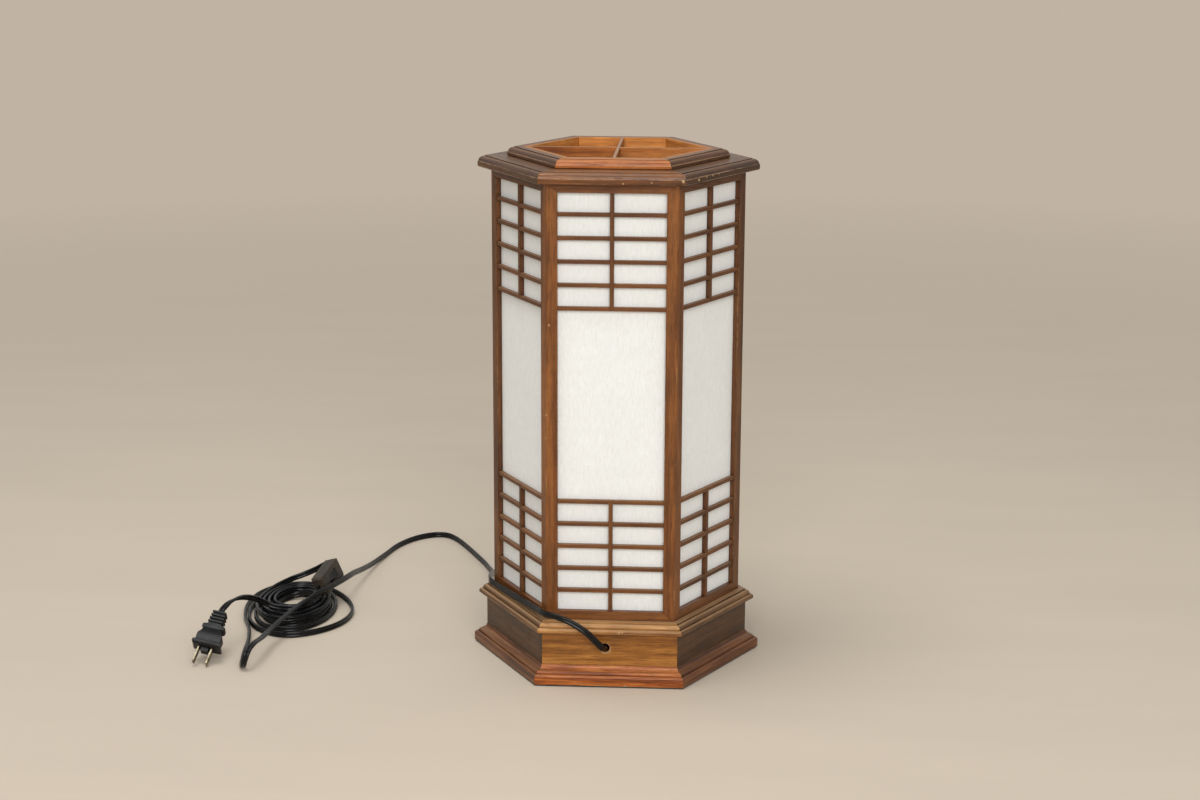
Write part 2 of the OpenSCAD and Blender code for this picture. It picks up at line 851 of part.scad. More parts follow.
// Half of the plug's outline from the front boss to the strain relief
function plug_half(wide, boss, ear, relief) =
    let (
        f = blade_l,
        e = blade_l + plug_l,
        neck = e - relief_l,
        w = wide / 2
    )
    concat(
        [[boss, f - 4.6], [boss, f], [w - 2, f], [w, f + 1.4], [w, f + 4], [w - 1.8, f + 5.4]],
        [[w - 1.6, f + 12], [w - 3.4, f + 16], [relief / 2 + 1.6, f + 19], [ear, neck - 4.4]],
        [[ear, neck - 1.2], [relief / 2 + 0.4, neck]],
        [for (i = [0:rib_count - 1], s = [0:3])
            let (y = e - rib_pitch * (rib_count - i) + [0.4, 1, 2.6, 3.2][s])
            [relief / 2 + [0, rib_out, rib_out, 0][s] - 0.2 * i, y]],
        [[relief / 2 - 1, e]]
    );

module plug_slab(half, depth) {
    back = [for (i = [len(half) - 1:-1:0]) [-half[i][0], half[i][1]]];
    translate([0, 0, -depth]) linear_extrude(2 * depth) polygon(concat(half, back));
}

module plug_body() {
    color(black)
        in_plug()
            difference() {
                intersection() {
                    plug_slab(plug_half(plug_w, 3.4, 10.7, relief_w), plug_t);
                    rotate([0, 90, 0]) plug_slab(plug_half(plug_t, 3, 4.6, relief_t), plug_w);
                }
                blade_blanks();
            }
}

// Twin cord

// The way the wide side of the cord points is given beside each place
UP = [0, 0, 1];
ALONG_X = [1, 0, 0];
EXIT = [0.78, 0, 0.62];

function heading(turn) = [
    -sin(turn[2]) * cos(turn[0]),
    cos(turn[2]) * cos(turn[0]),
    sin(turn[0])
];
function flank(turn) = [
    cos(turn[2]) * cos(turn[1]) - sin(turn[2]) * sin(turn[0]) * sin(turn[1]),
    sin(turn[2]) * cos(turn[1]) + cos(turn[2]) * sin(turn[0]) * sin(turn[1]),
    -cos(turn[0]) * sin(turn[1])
];
function off_switch(end, further) =
    [switch_at + end * (switch_l / 2 + further) * heading(switch_turn), -flank(switch_turn)];
function off_plug(further) =
    [plug_at + (blade_l + plug_l + further) * heading(plug_turn), flank(plug_turn)];

// Where the two stretches of the cord meet in the hole
cord_in_rho = panel_rho - 6.3;

// From the hole over the ledge, round the corner and along the surface to the coil
LEAD = [
    [[cord_hole_x, -cord_in_rho, cord_hole_z], EXIT],
    [[cord_hole_x, -panel_rho, cord_hole_z], EXIT],
    [[-6, -114, 36.7], EXIT],
    [[-11, -118, 43.5], EXIT],
    [[-21, -119, 53.5], EXIT],
    [[-34, -118, 61.5], [0.6, -0.2, 0.8]],
    [[-48, -115, 66], [0.4, -0.4, 0.8]],
    [[-60, -107, 66.5], [0.2, -0.3, 1]],
    [[-73, -83, 64.5], UP],
    [[-111, -18, 62], UP],
    [[-120.5, 4, 61.5], UP],
    [[-123, 60, 49], UP],
    [[-127, 130, 24], UP],
    [[-131, 165, 12], UP],
    [[-141, 202, 4.5], UP],
    [[-156, 242, 3.1], UP],
    [[-189, 310, 3.1], UP],
    [[-209, 328, 3.1], UP],
    [[-232, 317, 3.1], UP],
    [[-250, 288, 3.1], UP],
    [[-260, 250, 3.4], UP],
    [[-267, 210, 6.5], UP],
    [[-271.5, 172, 12.5], [-0.1, 0, 1]],
    [[-274.5, 140, 19], [-0.25, -0.1, 0.95]],
    [[-277, 114, 23], [-0.35, -0.1, 0.93]],
    [[-282, 92, 24.6], [-0.35, -0.1, 0.93]],
    [[-287, 76, 25.6], [-0.2, 0, 0.95]],
    [[-293.5, 59, 26], [0.3, 0.1, 0.8]],
    [[-302, 44, 24.2], [0.8, 0.3, 0.4]],
    [[-311.5, 22, 21.6], [0.9, 0.3, 0.2]],
    [[-324, -26, 18.5], [0.9, 0.2, 0.2]],
    [[-327.5, -58, 19.5], ALONG_X],
    [[-330.3, -82, 22], ALONG_X],
    [[-333.3, -94.5, 19.5], ALONG_X],
    [[-336, -98.5, 12], ALONG_X],
    [[-338.7, -94.5, 4.5], ALONG_X],
    [[-342, -82, 1.8], ALONG_X],
    [[-346, -52, 2.3], [1, 0.1, 0.3]],
    [[-350, -18, 3.2], [0.4, 0, 0.9]],
    [[-357, 14, 3.1], UP]
];

// One wide turn round the coil
LOOP = [
    [[-367, 45, 3.1], UP],
    [[-371.5, 82, 3.1], UP],
    [[-365.5, 117, 3.1], UP],
    [[-346.5, 141.5, 3.1], UP],
    [[-318, 146, 3.1], UP],
    [[-291, 124, 3.1], UP],
    [[-272, 94, 3.1], UP],
    [[-264, 62, 3.1], UP],
    [[-270, 31, 3.1], UP],
    [[-289, 6, 3.1], UP],
    [[-315, -6, 3.1], UP],
    [[-340, 4, 3.1], UP],
    [[-358, 29, 3.1], UP]
];

// From the coil up to the far end of the switch
RISER = [
    [[-352, 108, 11], UP],
    [[-339, 127, 14], UP],
    [[-326, 134.5, 17.5], UP],
    [[-313.5, 136, 22.8], UP],
    [[-304, 133.8, 28.6], UP],
    [[-295.6, 130.6, 33], [-0.2, 0, 1]],
    [[-291.3, 128, 34.2], [-0.3, -0.1, 0.95]],
    [[-288.8, 123.5, 34.5], -flank(switch_turn)],
    off_switch(1, 3),
    off_switch(1, 0)
];

// From the near end of the switch over the coil to the plug
TAIL = [
    off_switch(-1, 0),
    off_switch(-1, 6),
    [[-300, 61, 20.2], [-0.2, 0, 1]],
    [[-303, 51, 17.6], UP],
    [[-309, 41, 16.4], UP],
    [[-319, 35, 16.3], UP],
    [[-332, 35, 16.6], UP],
    [[-343, 34, 20.5], UP],
    [[-350, 24, 28], UP],
    [[-354.5, 9, 34.8], [0.3, 0.1, 0.9]],
    [[-358.5, -6, 39.8], [0.7, 0.2, 0.7]],
    [[-361.5, -20, 42.6], [0.9, 0.2, 0.4]],
    [[-364.5, -31, 43], [0.9, 0.2, 0.2]],
    [[-366.8, -38.5, 41.5], flank(plug_turn)],
    off_plug(4),
    off_plug(0)
];

// Inside the plinth, from the hole to the holder
INNER = [
    [[0, 0, insert_z], ALONG_X],
    [[0, 0, insert_z - 8], ALONG_X],
    [[0, 0, 52], ALONG_X],
    [[0, 0, 42], ALONG_X],
    [[0, -2, 32], ALONG_X],
    [[0, -12, 21], ALONG_X],
    [[-1, -32, 15], ALONG_X],
    [[-3, -56, 17], ALONG_X],
    [[-4, -76, 26], ALONG_X],
    [[cord_hole_x, -panel_in + 6, cord_hole_z], EXIT],
    [[cord_hole_x, -cord_in_rho, cord_hole_z], EXIT]
];

coil_mid = [-323, 68];      // middle of the outermost turn
coil_half = [43, 70];       // half its width and half its length
coil_step = [6, 11];        // how much narrower and shorter each turn is inwards
coil_drift = [0, 4];        // how far the middle moves with each turn inwards
coil_in = 4.25;             // turns inwards on the lower layer
coil_out = 3.75;            // turns outwards on the upper layer
coil_out_rate = 0.82;       // how fast the upper layer opens against the lower one
coil_z = 3.1;               // height of the lower layer's middle
coil_layer = cord_w + 0.8;  // height from layer to layer
coil_climb = 0.3;           // part of a turn in which the cord climbs to the upper layer

// The coil's centre line, after a number of turns from its left side, going clockwise
function coil_point(turns) =
    let (
        inwards = turns < coil_in ? turns : coil_in - coil_out_rate * (turns - coil_in),
        climb = min(1, max(0, (turns - coil_in) / coil_climb + 0.5)),
        half = coil_half - coil_step * inwards,
        mid = coil_mid + coil_drift * inwards
    )
    [
        mid[0] - half[0] * cos(360 * turns),
        mid[1] + half[1] * sin(360 * turns),
        coil_z + coil_layer * climb * climb * (3 - 2 * climb)
    ];

COIL = [for (i = [0:12 * (coil_in + coil_out)]) [coil_point(i / 12), UP]];

// A smooth curve through the places, with one or two steps between neighbours
function blend(a, b, c, d, t) =
    (2 * b + (c - a) * t + (2 * a - 5 * b + 4 * c - d) * t * t + (3 * b - a - 3 * c + d) * t * t * t) / 2;
function smooth_route(stops) =
    let (n = len(stops))
    concat(
        [for (i = [0:n - 2])
            let (
                b = stops[i][0],
                c = stops[i + 1][0],
                a = i > 0 ? stops[i - 1][0] : 2 * b - c,
                d = i < n - 2 ? stops[i + 2][0] : 2 * c - b,
                count = norm(c - b) > 20 ? 2 : 1
            )
            for (s = [0:count - 1])
                [blend(a, b, c, d, s / count), stops[i][1] * (1 - s / count) + stops[i + 1][1] * s / count]],
        [stops[n - 1]]
    );

function unit(v) = v / norm(v);

// Directions of the cord's wide and thin sides at place i of a route
function sides(route, i) =
    let (
        ahead = route[min(i + 1, len(route) - 1)][0] - route[max(i - 1, 0)][0],
        thin = unit(cross(ahead, route[i][1])),
        wide = unit(cross(thin, ahead))
    )
    [wide, thin];

// The corners of the cord's section, round it, in parts of its width and thickness
SECTION = [
    [1 / 2, 1 / 4], [3 / 8, 1 / 2], [-3 / 8, 1 / 2], [-1 / 2, 1 / 4],
    [-1 / 2, -1 / 4], [-3 / 8, -1 / 2], [3 / 8, -1 / 2], [1 / 2, -1 / 4]
];

// A tube of the cord's section along places from to last of a route
module cord_tube(route, from, last) {
    n = len(SECTION);
    rings = last - from + 1;
    points = [
        for (i = [from:last])
            let (d = sides(route, i))
            for (p = SECTION)
                route[i][0] + d[0] * p[0] * cord_w + d[1] * p[1] * cord_t
    ];
    walls = [
        for (r = [0:rings - 2], k = [0:n - 1])
            let (a = r * n + k, b = r * n + (k + 1) % n)
            each [[a, b, b + n], [a, b + n, a + n]]
    ];
    caps = [
        for (k = [1:n - 2])
            each [[0, k + 1, k], [(rings - 1) * n, (rings - 1) * n + k, (rings - 1) * n + k + 1]]
    ];
    color(black) polyhedron(points, concat(walls, caps));
}

// The whole cord from the hole to the switch is one route, cut into its stretches
MAIN = smooth_route(concat(LEAD, LOOP, COIL, RISER));

// Where the route passes a place of its list
function stop_index(stop) = [for (i = [0:len(MAIN) - 1]) if (norm(MAIN[i][0] - stop[0]) < 0.001) i][0];

module cord_lead() {
    cord_tube(MAIN, 0, stop_index(LOOP[0]));
}

// Clear distances between the cord at place i and the stretch of it beside j, if it passes there
function clear_gap(route, i, j) =
    let (
        a = route[j][0],
        along = route[j + 1][0] - a,
        t = (route[i][0] - a) * along / (along * along),
        off = a + along * t - route[i][0],
        d = sides(route, i)
    )
    t < 0 || t > 1 ? [] : [max(abs(off * d[0]) - cord_w, abs(off * d[1]) - cord_t)];

module cord_coil() {
    from = stop_index(LOOP[0]);
    last = stop_index(COIL[len(COIL) - 1]);
    gaps = [
        for (i = [from:last], j = [from:last - 1])
            if (abs(i - j) > 6 && norm(MAIN[i][0] - MAIN[j][0]) < 30) each clear_gap(MAIN, i, j)
    ];
    echo(least_gap_in_the_coil = min(gaps));
    cord_tube(MAIN, from, last);
}

module cord_riser() {
    cord_tube(MAIN, stop_index(COIL[len(COIL) - 1]), len(MAIN) - 1);
}

module cord_tail() {
    route = smooth_route(TAIL);
    cord_tube(route, 0, len(route) - 1);
}

module inner_lead() {
    route = smooth_route(INNER);
    cord_tube(route, 0, len(route) - 1);
}

felt_strips();
foot_mouldings();
plinth_panel_front();
plinth_panels();
ledge_mouldings();
base_board();
base_blocks();
base_screws();
corner_post(1);  // corner_post_1
corner_post(2);  // corner_post_2
corner_post(3);  // corner_post_3
corner_post(4);  // corner_post_4
corner_post(5);  // corner_post_5
corner_post(6);  // corner_post_6
top_rails();
bottom_rails();
lattice_upper(1);  // lattice_upper_1
lattice_upper(2);  // lattice_upper_2
lattice_upper(3);  // lattice_upper_3
lattice_upper(4);  // lattice_upper_4
lattice_upper(5);  // lattice_upper_5
lattice_upper(6);  // lattice_upper_6
lattice_lower(1);  // lattice_lower_1
lattice_lower(2);  // lattice_lower_2
lattice_lower(3);  // lattice_lower_3
lattice_lower(4);  // lattice_lower_4
lattice_lower(5);  // lattice_lower_5
lattice_lower(6);  // lattice_lower_6
paper(1);  // paper_1
paper(2);  // paper_2
paper(3);  // paper_3
paper(4);  // paper_4
paper(5);  // paper_5
paper(6);  // paper_6
paper_stops();
cap_boards();
crown_mouldings();
crown_liner();
cross_board_long();
cross_board_short();
nipple();
nipple_nuts();
holder_cap();
holder_shell();
holder_insert();
screw_shell();
centre_contact();
bulb_base();
bulb_glass();
inner_lead();
switch_top_shell();
switch_bottom_shell();
switch_rocker();
switch_screws();
plug_body();
plug_blades();
cord_lead();
cord_coil();
cord_riser();
cord_tail();
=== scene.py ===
"""A rice paper table lamp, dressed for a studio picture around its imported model."""

import json
import logging
import math
import random
from dataclasses import dataclass, field
from enum import Enum
from typing import Callable, Iterable, Sequence, Union

import bmesh
import bpy
from bpy.types import Material, Mesh, Node, NodeSocket, NodeTree, Object
from mathutils import Matrix, Vector

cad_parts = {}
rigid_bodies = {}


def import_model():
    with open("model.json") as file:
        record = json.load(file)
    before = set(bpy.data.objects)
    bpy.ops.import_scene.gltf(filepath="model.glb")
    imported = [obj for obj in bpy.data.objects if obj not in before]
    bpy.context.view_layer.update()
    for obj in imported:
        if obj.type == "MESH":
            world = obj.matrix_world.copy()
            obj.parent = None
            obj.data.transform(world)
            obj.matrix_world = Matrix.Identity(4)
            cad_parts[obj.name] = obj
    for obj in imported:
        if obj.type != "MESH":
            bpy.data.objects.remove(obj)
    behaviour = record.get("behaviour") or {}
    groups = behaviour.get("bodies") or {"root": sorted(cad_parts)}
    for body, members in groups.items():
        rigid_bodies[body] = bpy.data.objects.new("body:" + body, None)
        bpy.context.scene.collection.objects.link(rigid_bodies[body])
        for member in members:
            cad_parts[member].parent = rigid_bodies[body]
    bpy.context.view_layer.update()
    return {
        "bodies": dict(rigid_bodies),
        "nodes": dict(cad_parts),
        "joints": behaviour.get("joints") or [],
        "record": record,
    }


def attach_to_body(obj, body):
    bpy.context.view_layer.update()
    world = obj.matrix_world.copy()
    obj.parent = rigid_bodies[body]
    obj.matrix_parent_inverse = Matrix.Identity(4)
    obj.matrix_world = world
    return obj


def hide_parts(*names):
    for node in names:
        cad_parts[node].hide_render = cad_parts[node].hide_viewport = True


log = logging.getLogger("paper_lamp")

MM = 0.001
Point = tuple[float, float, float]
Colour = tuple[float, float, float, float]
Input = Union[NodeSocket, float, Sequence[float]]
Inputs = dict[Union[str, int], Input]
Waypoint = tuple[Point, Point]
Stop = tuple[Vector, Vector]


def tint(red: float, green: float, blue: float) -> Colour:
    """Turns a colour as seen on a screen into the renderer's linear one.

    Args:
        red: Red from 0 to 255.
        green: Green from 0 to 255.
        blue: Blue from 0 to 255.

    Returns:
        The linear colour with full alpha.
    """
    def linear(value: float) -> float:
        """Undoes the screen's gamma for one channel."""
        part = value / 255
        return part / 12.92 if part <= 0.04045 else ((part + 0.055) / 1.055) ** 2.4

    return (linear(red), linear(green), linear(blue), 1.0)


# Shaders


class Shader:
    """Adds nodes to one node tree and links them."""

    def __init__(self, tree: NodeTree) -> None:
        """Keeps the tree that the nodes go into."""
        self.tree = tree

    def feed(self, node: Node, inputs: Inputs) -> Node:
        """Links or sets inputs of a node by name or number, and returns the node."""
        for key, value in inputs.items():
            if isinstance(value, NodeSocket):
                self.tree.links.new(value, node.inputs[key])
            else:
                node.inputs[key].default_value = value
        return node

    def add(self, kind: str, inputs: Inputs, **settings: object) -> Node:
        """Adds a node.

        Args:
            kind: The node's type without its ShaderNode prefix.
            inputs: Values or sockets for the node's inputs, by name or number.
            settings: The node's own settings.

        Returns:
            The new node.
        """
        node = self.tree.nodes.new("ShaderNode" + kind)
        for name, value in settings.items():
            setattr(node, name, value)
        return self.feed(node, inputs)

    def group(self, name: str, inputs: Inputs) -> Node:
        """Places a shared node group and returns its node."""
        return self.add("Group", inputs, node_tree=GROUPS.get(name))

    def maths(self, operation: str, first: Input, second: Input = 0.0, clamp: bool = False) -> NodeSocket:
        """Returns the result of a sum on one or two values."""
        return self.add("Math", {0: first, 1: second}, operation=operation, use_clamp=clamp).outputs[0]

    def plus(self, first: Input, second: Input) -> NodeSocket:
        """Returns two values added."""
        return self.maths("ADD", first, second)

    def minus(self, first: Input, second: Input) -> NodeSocket:
        """Returns one value less another."""
        return self.maths("SUBTRACT", first, second)

    def times(self, first: Input, second: Input, clamp: bool = False) -> NodeSocket:
        """Returns two values multiplied, kept from 0 to 1 if asked."""
        return self.maths("MULTIPLY", first, second, clamp)

    def stretch(self, place: Input, scale: Point) -> NodeSocket:
        """Returns a place multiplied by a scale along each axis."""
        return self.add("VectorMath", {0: place, 1: scale}, operation="MULTIPLY").outputs[0]

    def shade(self, colour: Input, strength: Input) -> NodeSocket:
        """Returns a colour made darker or lighter."""
        return self.add("VectorMath", {0: colour, "Scale": strength}, operation="SCALE").outputs[0]

    def noise(self, place: Input, scale: Input, detail: float = 3, rough: float = 0.5, twist: float = 0) -> NodeSocket:
        """Returns a noise value from 0 to 1 at a place."""
        return self.add("TexNoise", {"Vector": place, "Scale": scale, "Detail": detail, "Roughness": rough,
                                     "Distortion": twist}).outputs[0]

    def fit(self, value: Input, low: float, high: float, to_low: float = 0, to_high: float = 1) -> NodeSocket:
        """Returns a value moved from one range to another, and kept within it."""
        return self.add("MapRange", {"Value": value, "From Min": low, "From Max": high, "To Min": to_low,
                                     "To Max": to_high}, clamp=True).outputs[0]

    def blend(self, share: Input, first: Input, second: Input) -> NodeSocket:
        """Returns a mix of two colours."""
        return self.add("Mix", {0: share, 6: first, 7: second}, data_type="RGBA").outputs[2]

    def attribute(self, name: str, output: str = "Fac") -> NodeSocket:
        """Returns one of the piece's own attributes."""
        return self.add("Attribute", {}, attribute_name=name).outputs[output]

    def object_place(self) -> NodeSocket:
        """Returns the place in the lamp's own frame."""
        return self.add("TexCoord", {}).outputs["Object"]

    def bump(self, height: Input, strength: float, distance: float) -> NodeSocket:
        """Returns a normal that a height has tilted."""
        return self.add("Bump", {"Height": height, "Strength": strength, "Distance": distance}).outputs[0]


FLOAT = "NodeSocketFloat"
COLOUR = "NodeSocketColor"
VECTOR = "NodeSocketVector"


class Groups:
    """The node groups that more than one finish uses, each built once."""

    # Repeats per metre along a board, across it and into it
    bands: Point = (5, 95, 95)
    streaks: Point = (16, 380, 380)
    hairs: Point = (45, 1500, 1500)
    pores: Point = (90, 2200, 2200)
    figure_shares: Point = (0.4, 0.36, 0.24)

    # Painted shade in corners, scuffed edges that also carry painted highlights, and chips
    corner_reach = 4 * MM
    corner_shade = 0.42
    rubbed_patches = 40.0
    rubbed_nicks = 520.0
    rubbed_steepness = 14.0
    chip_steepness = 6000.0

    # Repeats per metre of the paper's fibres, and how far the long ones waver in metres
    paper_long: Point = (110, 620, 620)
    paper_short: Point = (700, 300, 700)
    paper_waver: Point = (0, 8 * MM, 0)

    def __init__(self) -> None:
        """Starts with no group built."""
        self.built: dict[str, NodeTree] = {}

    def get(self, name: str) -> NodeTree:
        """Returns a group by its name, and builds it first if need be."""
        if name not in self.built:
            self.built[name] = getattr(self, name)()
        return self.built[name]

    @staticmethod
    def start(name: str, inputs: dict[str, str], outputs: dict[str, str]) -> tuple[Shader, Node, Node]:
        """Starts a group.

        Args:
            name: The group's name.
            inputs: Socket types of the inputs, by name.
            outputs: Socket types of the outputs, by name.

        Returns:
            The group's shader helper, its input node and its output node.
        """
        tree = bpy.data.node_groups.new(name, "ShaderNodeTree")
        for way, sockets in (("INPUT", inputs), ("OUTPUT", outputs)):
            for label, kind in sockets.items():
                tree.interface.new_socket(name=label, in_out=way, socket_type=kind)
        return Shader(tree), tree.nodes.new("NodeGroupInput"), tree.nodes.new("NodeGroupOutput")

    def grain(self) -> NodeTree:
        """Builds wood figure: broad bands, fine streaks and open pores along the board."""
        s, first, last = self.start("Board grain", {"Place": VECTOR, "Dark": COLOUR, "Middle": COLOUR, "Light": COLOUR,
                                                    "Figure": FLOAT},
                                    {"Colour": COLOUR, "Height": FLOAT, "Pores": FLOAT})
        place, dark = first.outputs["Place"], first.outputs["Dark"]
        broad = s.noise(s.stretch(place, self.bands), 1, 3, 0.5, 0.7)
        middle = s.noise(s.stretch(place, self.streaks), 1, 4, 0.6, 0.45)
        fine = s.noise(s.stretch(place, self.hairs), 1, 3, 0.6)
        pores = s.fit(s.noise(s.stretch(place, self.pores), 1, 2, 0.5), 0.55, 0.68)
        broad_share, middle_share, fine_share = self.figure_shares
        figure = s.plus(s.times(broad, broad_share), s.times(middle, middle_share))
        figure = s.plus(figure, s.times(fine, fine_share))
        figure = s.plus(s.times(s.minus(figure, 0.5), first.outputs["Figure"]), 0.5)
        colour = s.blend(s.fit(figure, 0.12, 0.5), dark, first.outputs["Middle"])
        colour = s.blend(s.fit(figure, 0.5, 0.92), colour, first.outputs["Light"])
        colour = s.blend(s.times(pores, 0.6), colour, dark)
        height = s.minus(s.times(fine, 0.6), s.times(pores, 0.6))
        s.feed(last, {"Colour": colour, "Height": height, "Pores": pores})
        return s.tree

    def painted_corner_shade(self) -> NodeTree:
        """Builds painted shade that darkens corners and quirks, from ambient occlusion."""
        s, _, last = self.start("Painted corner shade", {}, {"Shade": FLOAT})
        near = s.add("AmbientOcclusion", {"Distance": self.corner_reach}, samples=6).outputs["AO"]
        s.feed(last, {"Shade": s.fit(near, 0.26, 0.75, self.corner_shade, 1.0)})
        return s.tree

    def wear_and_highlight(self) -> NodeTree:
        """Builds scuffed edges with painted highlights, from the edge attribute and a patchy noise."""
        s, first, last = self.start("Rubbed and highlit edges", {"Place": VECTOR, "Edge": FLOAT, "Amount": FLOAT}, {"Mask": FLOAT})
        broad = s.times(s.noise(first.outputs["Place"], self.rubbed_patches, 2), 0.5)
        fine = s.times(s.noise(first.outputs["Place"], self.rubbed_nicks, 3, 0.6), 0.5)
        start = s.minus(0.62, s.times(first.outputs["Amount"], 0.16))
        rise = s.times(s.minus(s.plus(broad, fine), start), self.rubbed_steepness, True)
        s.feed(last, {"Mask": s.times(rise, first.outputs["Edge"])})
        return s.tree

    def dust_and_sheen(self) -> NodeTree:
        """Builds dust and a painted sheen on surfaces that face up."""
        s, first, last = self.start("Settled dust and sheen", {"Place": VECTOR, "Amount": FLOAT}, {"Mask": FLOAT})
        normal = s.add("TexCoord", {}).outputs["Normal"]
        up = s.fit(s.add("SeparateXYZ", {0: normal}).outputs[2], 0.55, 0.97)
        clouds = s.fit(s.noise(first.outputs["Place"], 70, 5, 0.65), 0.3, 0.65, 0.7, 1)
        s.feed(last, {"Mask": s.times(s.times(up, clouds), first.outputs["Amount"], True)})
        return s.tree

    def chip(self) -> NodeTree:
        """Builds one small chip of bare wood round a place."""
        s, first, last = self.start("Chip", {"Place": VECTOR, "Middle": VECTOR, "Radius": FLOAT}, {"Mask": FLOAT})
        place = first.outputs["Place"]
        away = s.add("VectorMath", {0: place, 1: first.outputs["Middle"]}, operation="DISTANCE").outputs["Value"]
        ragged = s.fit(s.noise(place, 900, 3, 0.6), 0.3, 0.7, 0.45, 1.25)
        reach = s.times(first.outputs["Radius"], ragged)
        s.feed(last, {"Mask": s.times(s.minus(reach, away), self.chip_steepness, True)})
        return s.tree

    def specks(self) -> NodeTree:
        """Builds the fine grain of moulded and machined surfaces."""
        s, first, last = self.start("Fine specks", {"Place": VECTOR, "Scale": FLOAT},
                                    {"Clouds": FLOAT, "Specks": FLOAT})
        place, scale = first.outputs["Place"], first.outputs["Scale"]
        s.feed(last, {"Clouds": s.noise(place, 120, 4, 0.6), "Specks": s.noise(place, scale, 2)})
        return s.tree

    def fibres(self) -> NodeTree:
        """Builds the long fibres and soft clouds of rice paper."""
        s, first, last = self.start("Paper fibres", {"Place": VECTOR}, {"Fibres": FLOAT, "Clouds": FLOAT})
        place = first.outputs["Place"]
        wavy = s.add("TexNoise", {"Vector": place, "Scale": 45, "Detail": 2}).outputs["Color"]
        bent = s.add("VectorMath", {0: place, 1: s.stretch(wavy, self.paper_waver)}, operation="ADD").outputs[0]
        long = s.noise(s.stretch(bent, self.paper_long), 1, 4, 0.6, 0.6)
        short = s.noise(s.stretch(bent, self.paper_short), 1, 3, 0.6, 1)
        fibres = s.plus(s.times(long, 0.7), s.times(short, 0.3))
        s.feed(last, {"Fibres": fibres, "Clouds": s.noise(place, 26, 5, 0.6)})
        return s.tree


GROUPS = Groups()


def new_material(name: str) -> tuple[Material, Shader, Node]:
    """Starts a material.

    Args:
        name: The material's name.

    Returns:
        The material, its shader helper and its main shader node.
    """
    material = bpy.data.materials.new(name)
    material.use_nodes = True
    return material, Shader(material.node_tree), material.node_tree.nodes["Principled BSDF"]


@dataclass(frozen=True)
class Finish:
    """What a piece is finished with, which each kind describes by its main shader's inputs."""

    name: str

    def inputs(self, s: Shader) -> Inputs:
        """Returns the inputs of the main shader, with the nodes before them."""
        raise NotImplementedError

    def material(self) -> Material:
        """Returns the finish as a new material."""
        material, s, main = new_material(self.name)
        s.feed(main, self.inputs(s))
        return material


@dataclass(frozen=True)
class Palette:
    """The dark, middle and light tones of one board's wood."""

    dark: Colour
    middle: Colour
    light: Colour


@dataclass(frozen=True)
class WoodFinish(Finish):
    """Stained and lacquered wood, blended board by board between a palette in painted shade and one in painted light.

    A chip of bare wood is given as the place of its middle and its radius.
    """

    shaded: Palette
    lit: Palette
    figure: float = 1.6
    roughness: float = 0.4
    coat: float = 0.25
    wear_and_highlight: float = 0.5
    dust_and_sheen: float = 0.0
    dust_and_sheen_colour: Colour = tint(160, 122, 88)
    bare: Colour = tint(176, 136, 92)
    chips: tuple[tuple[Point, float], ...] = ()

    def inputs(self, s: Shader) -> Inputs:
        """Returns the inputs of the main shader."""
        board_place = s.attribute("board", "Vector")
        place = s.object_place()
        grains = [s.group("grain", {"Place": board_place, "Dark": p.dark, "Middle": p.middle, "Light": p.light,
                                    "Figure": self.figure}) for p in (self.shaded, self.lit)]
        # The tone blends the palette in painted shade with the one in painted light, board by board
        colour = s.blend(s.attribute("tone"), grains[0].outputs["Colour"], grains[1].outputs["Colour"])
        clouds = s.fit(s.noise(place, 38, 4, 0.6), 0.3, 0.7, 0.8, 1.12)
        # The corner group's output is painted shade in corners and quirks, multiplied with a random mottle
        colour = s.shade(colour, s.times(clouds, s.group("painted_corner_shade", {}).outputs["Shade"]))
        # The scuffed edges are part wear and part painted highlight along the arrises
        rubbed_and_lit = s.group("wear_and_highlight", {"Place": place, "Edge": s.attribute("edge"), "Amount": self.wear_and_highlight})
        colour = s.blend(s.times(rubbed_and_lit.outputs["Mask"], 0.6), colour, self.bare)
        for middle, radius in self.chips:
            chip = s.group("chip", {"Place": place, "Middle": middle, "Radius": radius})
            colour = s.blend(chip.outputs["Mask"], colour, self.bare)
        rough = s.fit(grains[0].outputs["Pores"], 0, 1, self.roughness - 0.05, self.roughness + 0.18)
        # Up-facing surfaces are lightened, partly by dust and partly by a painted sheen on the lacquer
        if self.dust_and_sheen:
            dust_and_sheen = s.group("dust_and_sheen", {"Place": place, "Amount": self.dust_and_sheen}).outputs["Mask"]
            colour = s.blend(dust_and_sheen, colour, self.dust_and_sheen_colour)
            rough = s.plus(rough, s.times(dust_and_sheen, 0.3))
        return {"Base Color": colour, "Roughness": rough, "Specular IOR Level": 0.3, "Coat Weight": self.coat,
                "Coat Roughness": 0.3, "Normal": s.bump(grains[0].outputs["Height"], 0.35, 0.3 * MM)}


@dataclass(frozen=True)
class PaperFinish(Finish):
    """Rice paper with long upright fibres."""

    colour: Colour
    thin: Colour

    def inputs(self, s: Shader) -> Inputs:
        """Returns the inputs of the main shader."""
        sheet = s.group("fibres", {"Place": s.attribute("board", "Vector")})
        colour = s.blend(s.fit(sheet.outputs["Fibres"], 0.3, 0.66), self.thin, self.colour)
        colour = s.shade(colour, s.fit(sheet.outputs["Clouds"], 0.3, 0.7, 0.98, 1.01))
        return {"Base Color": colour, "Roughness": 0.85, "Specular IOR Level": 0.2,
                "Normal": s.bump(sheet.outputs["Fibres"], 0.12, 0.2 * MM)}


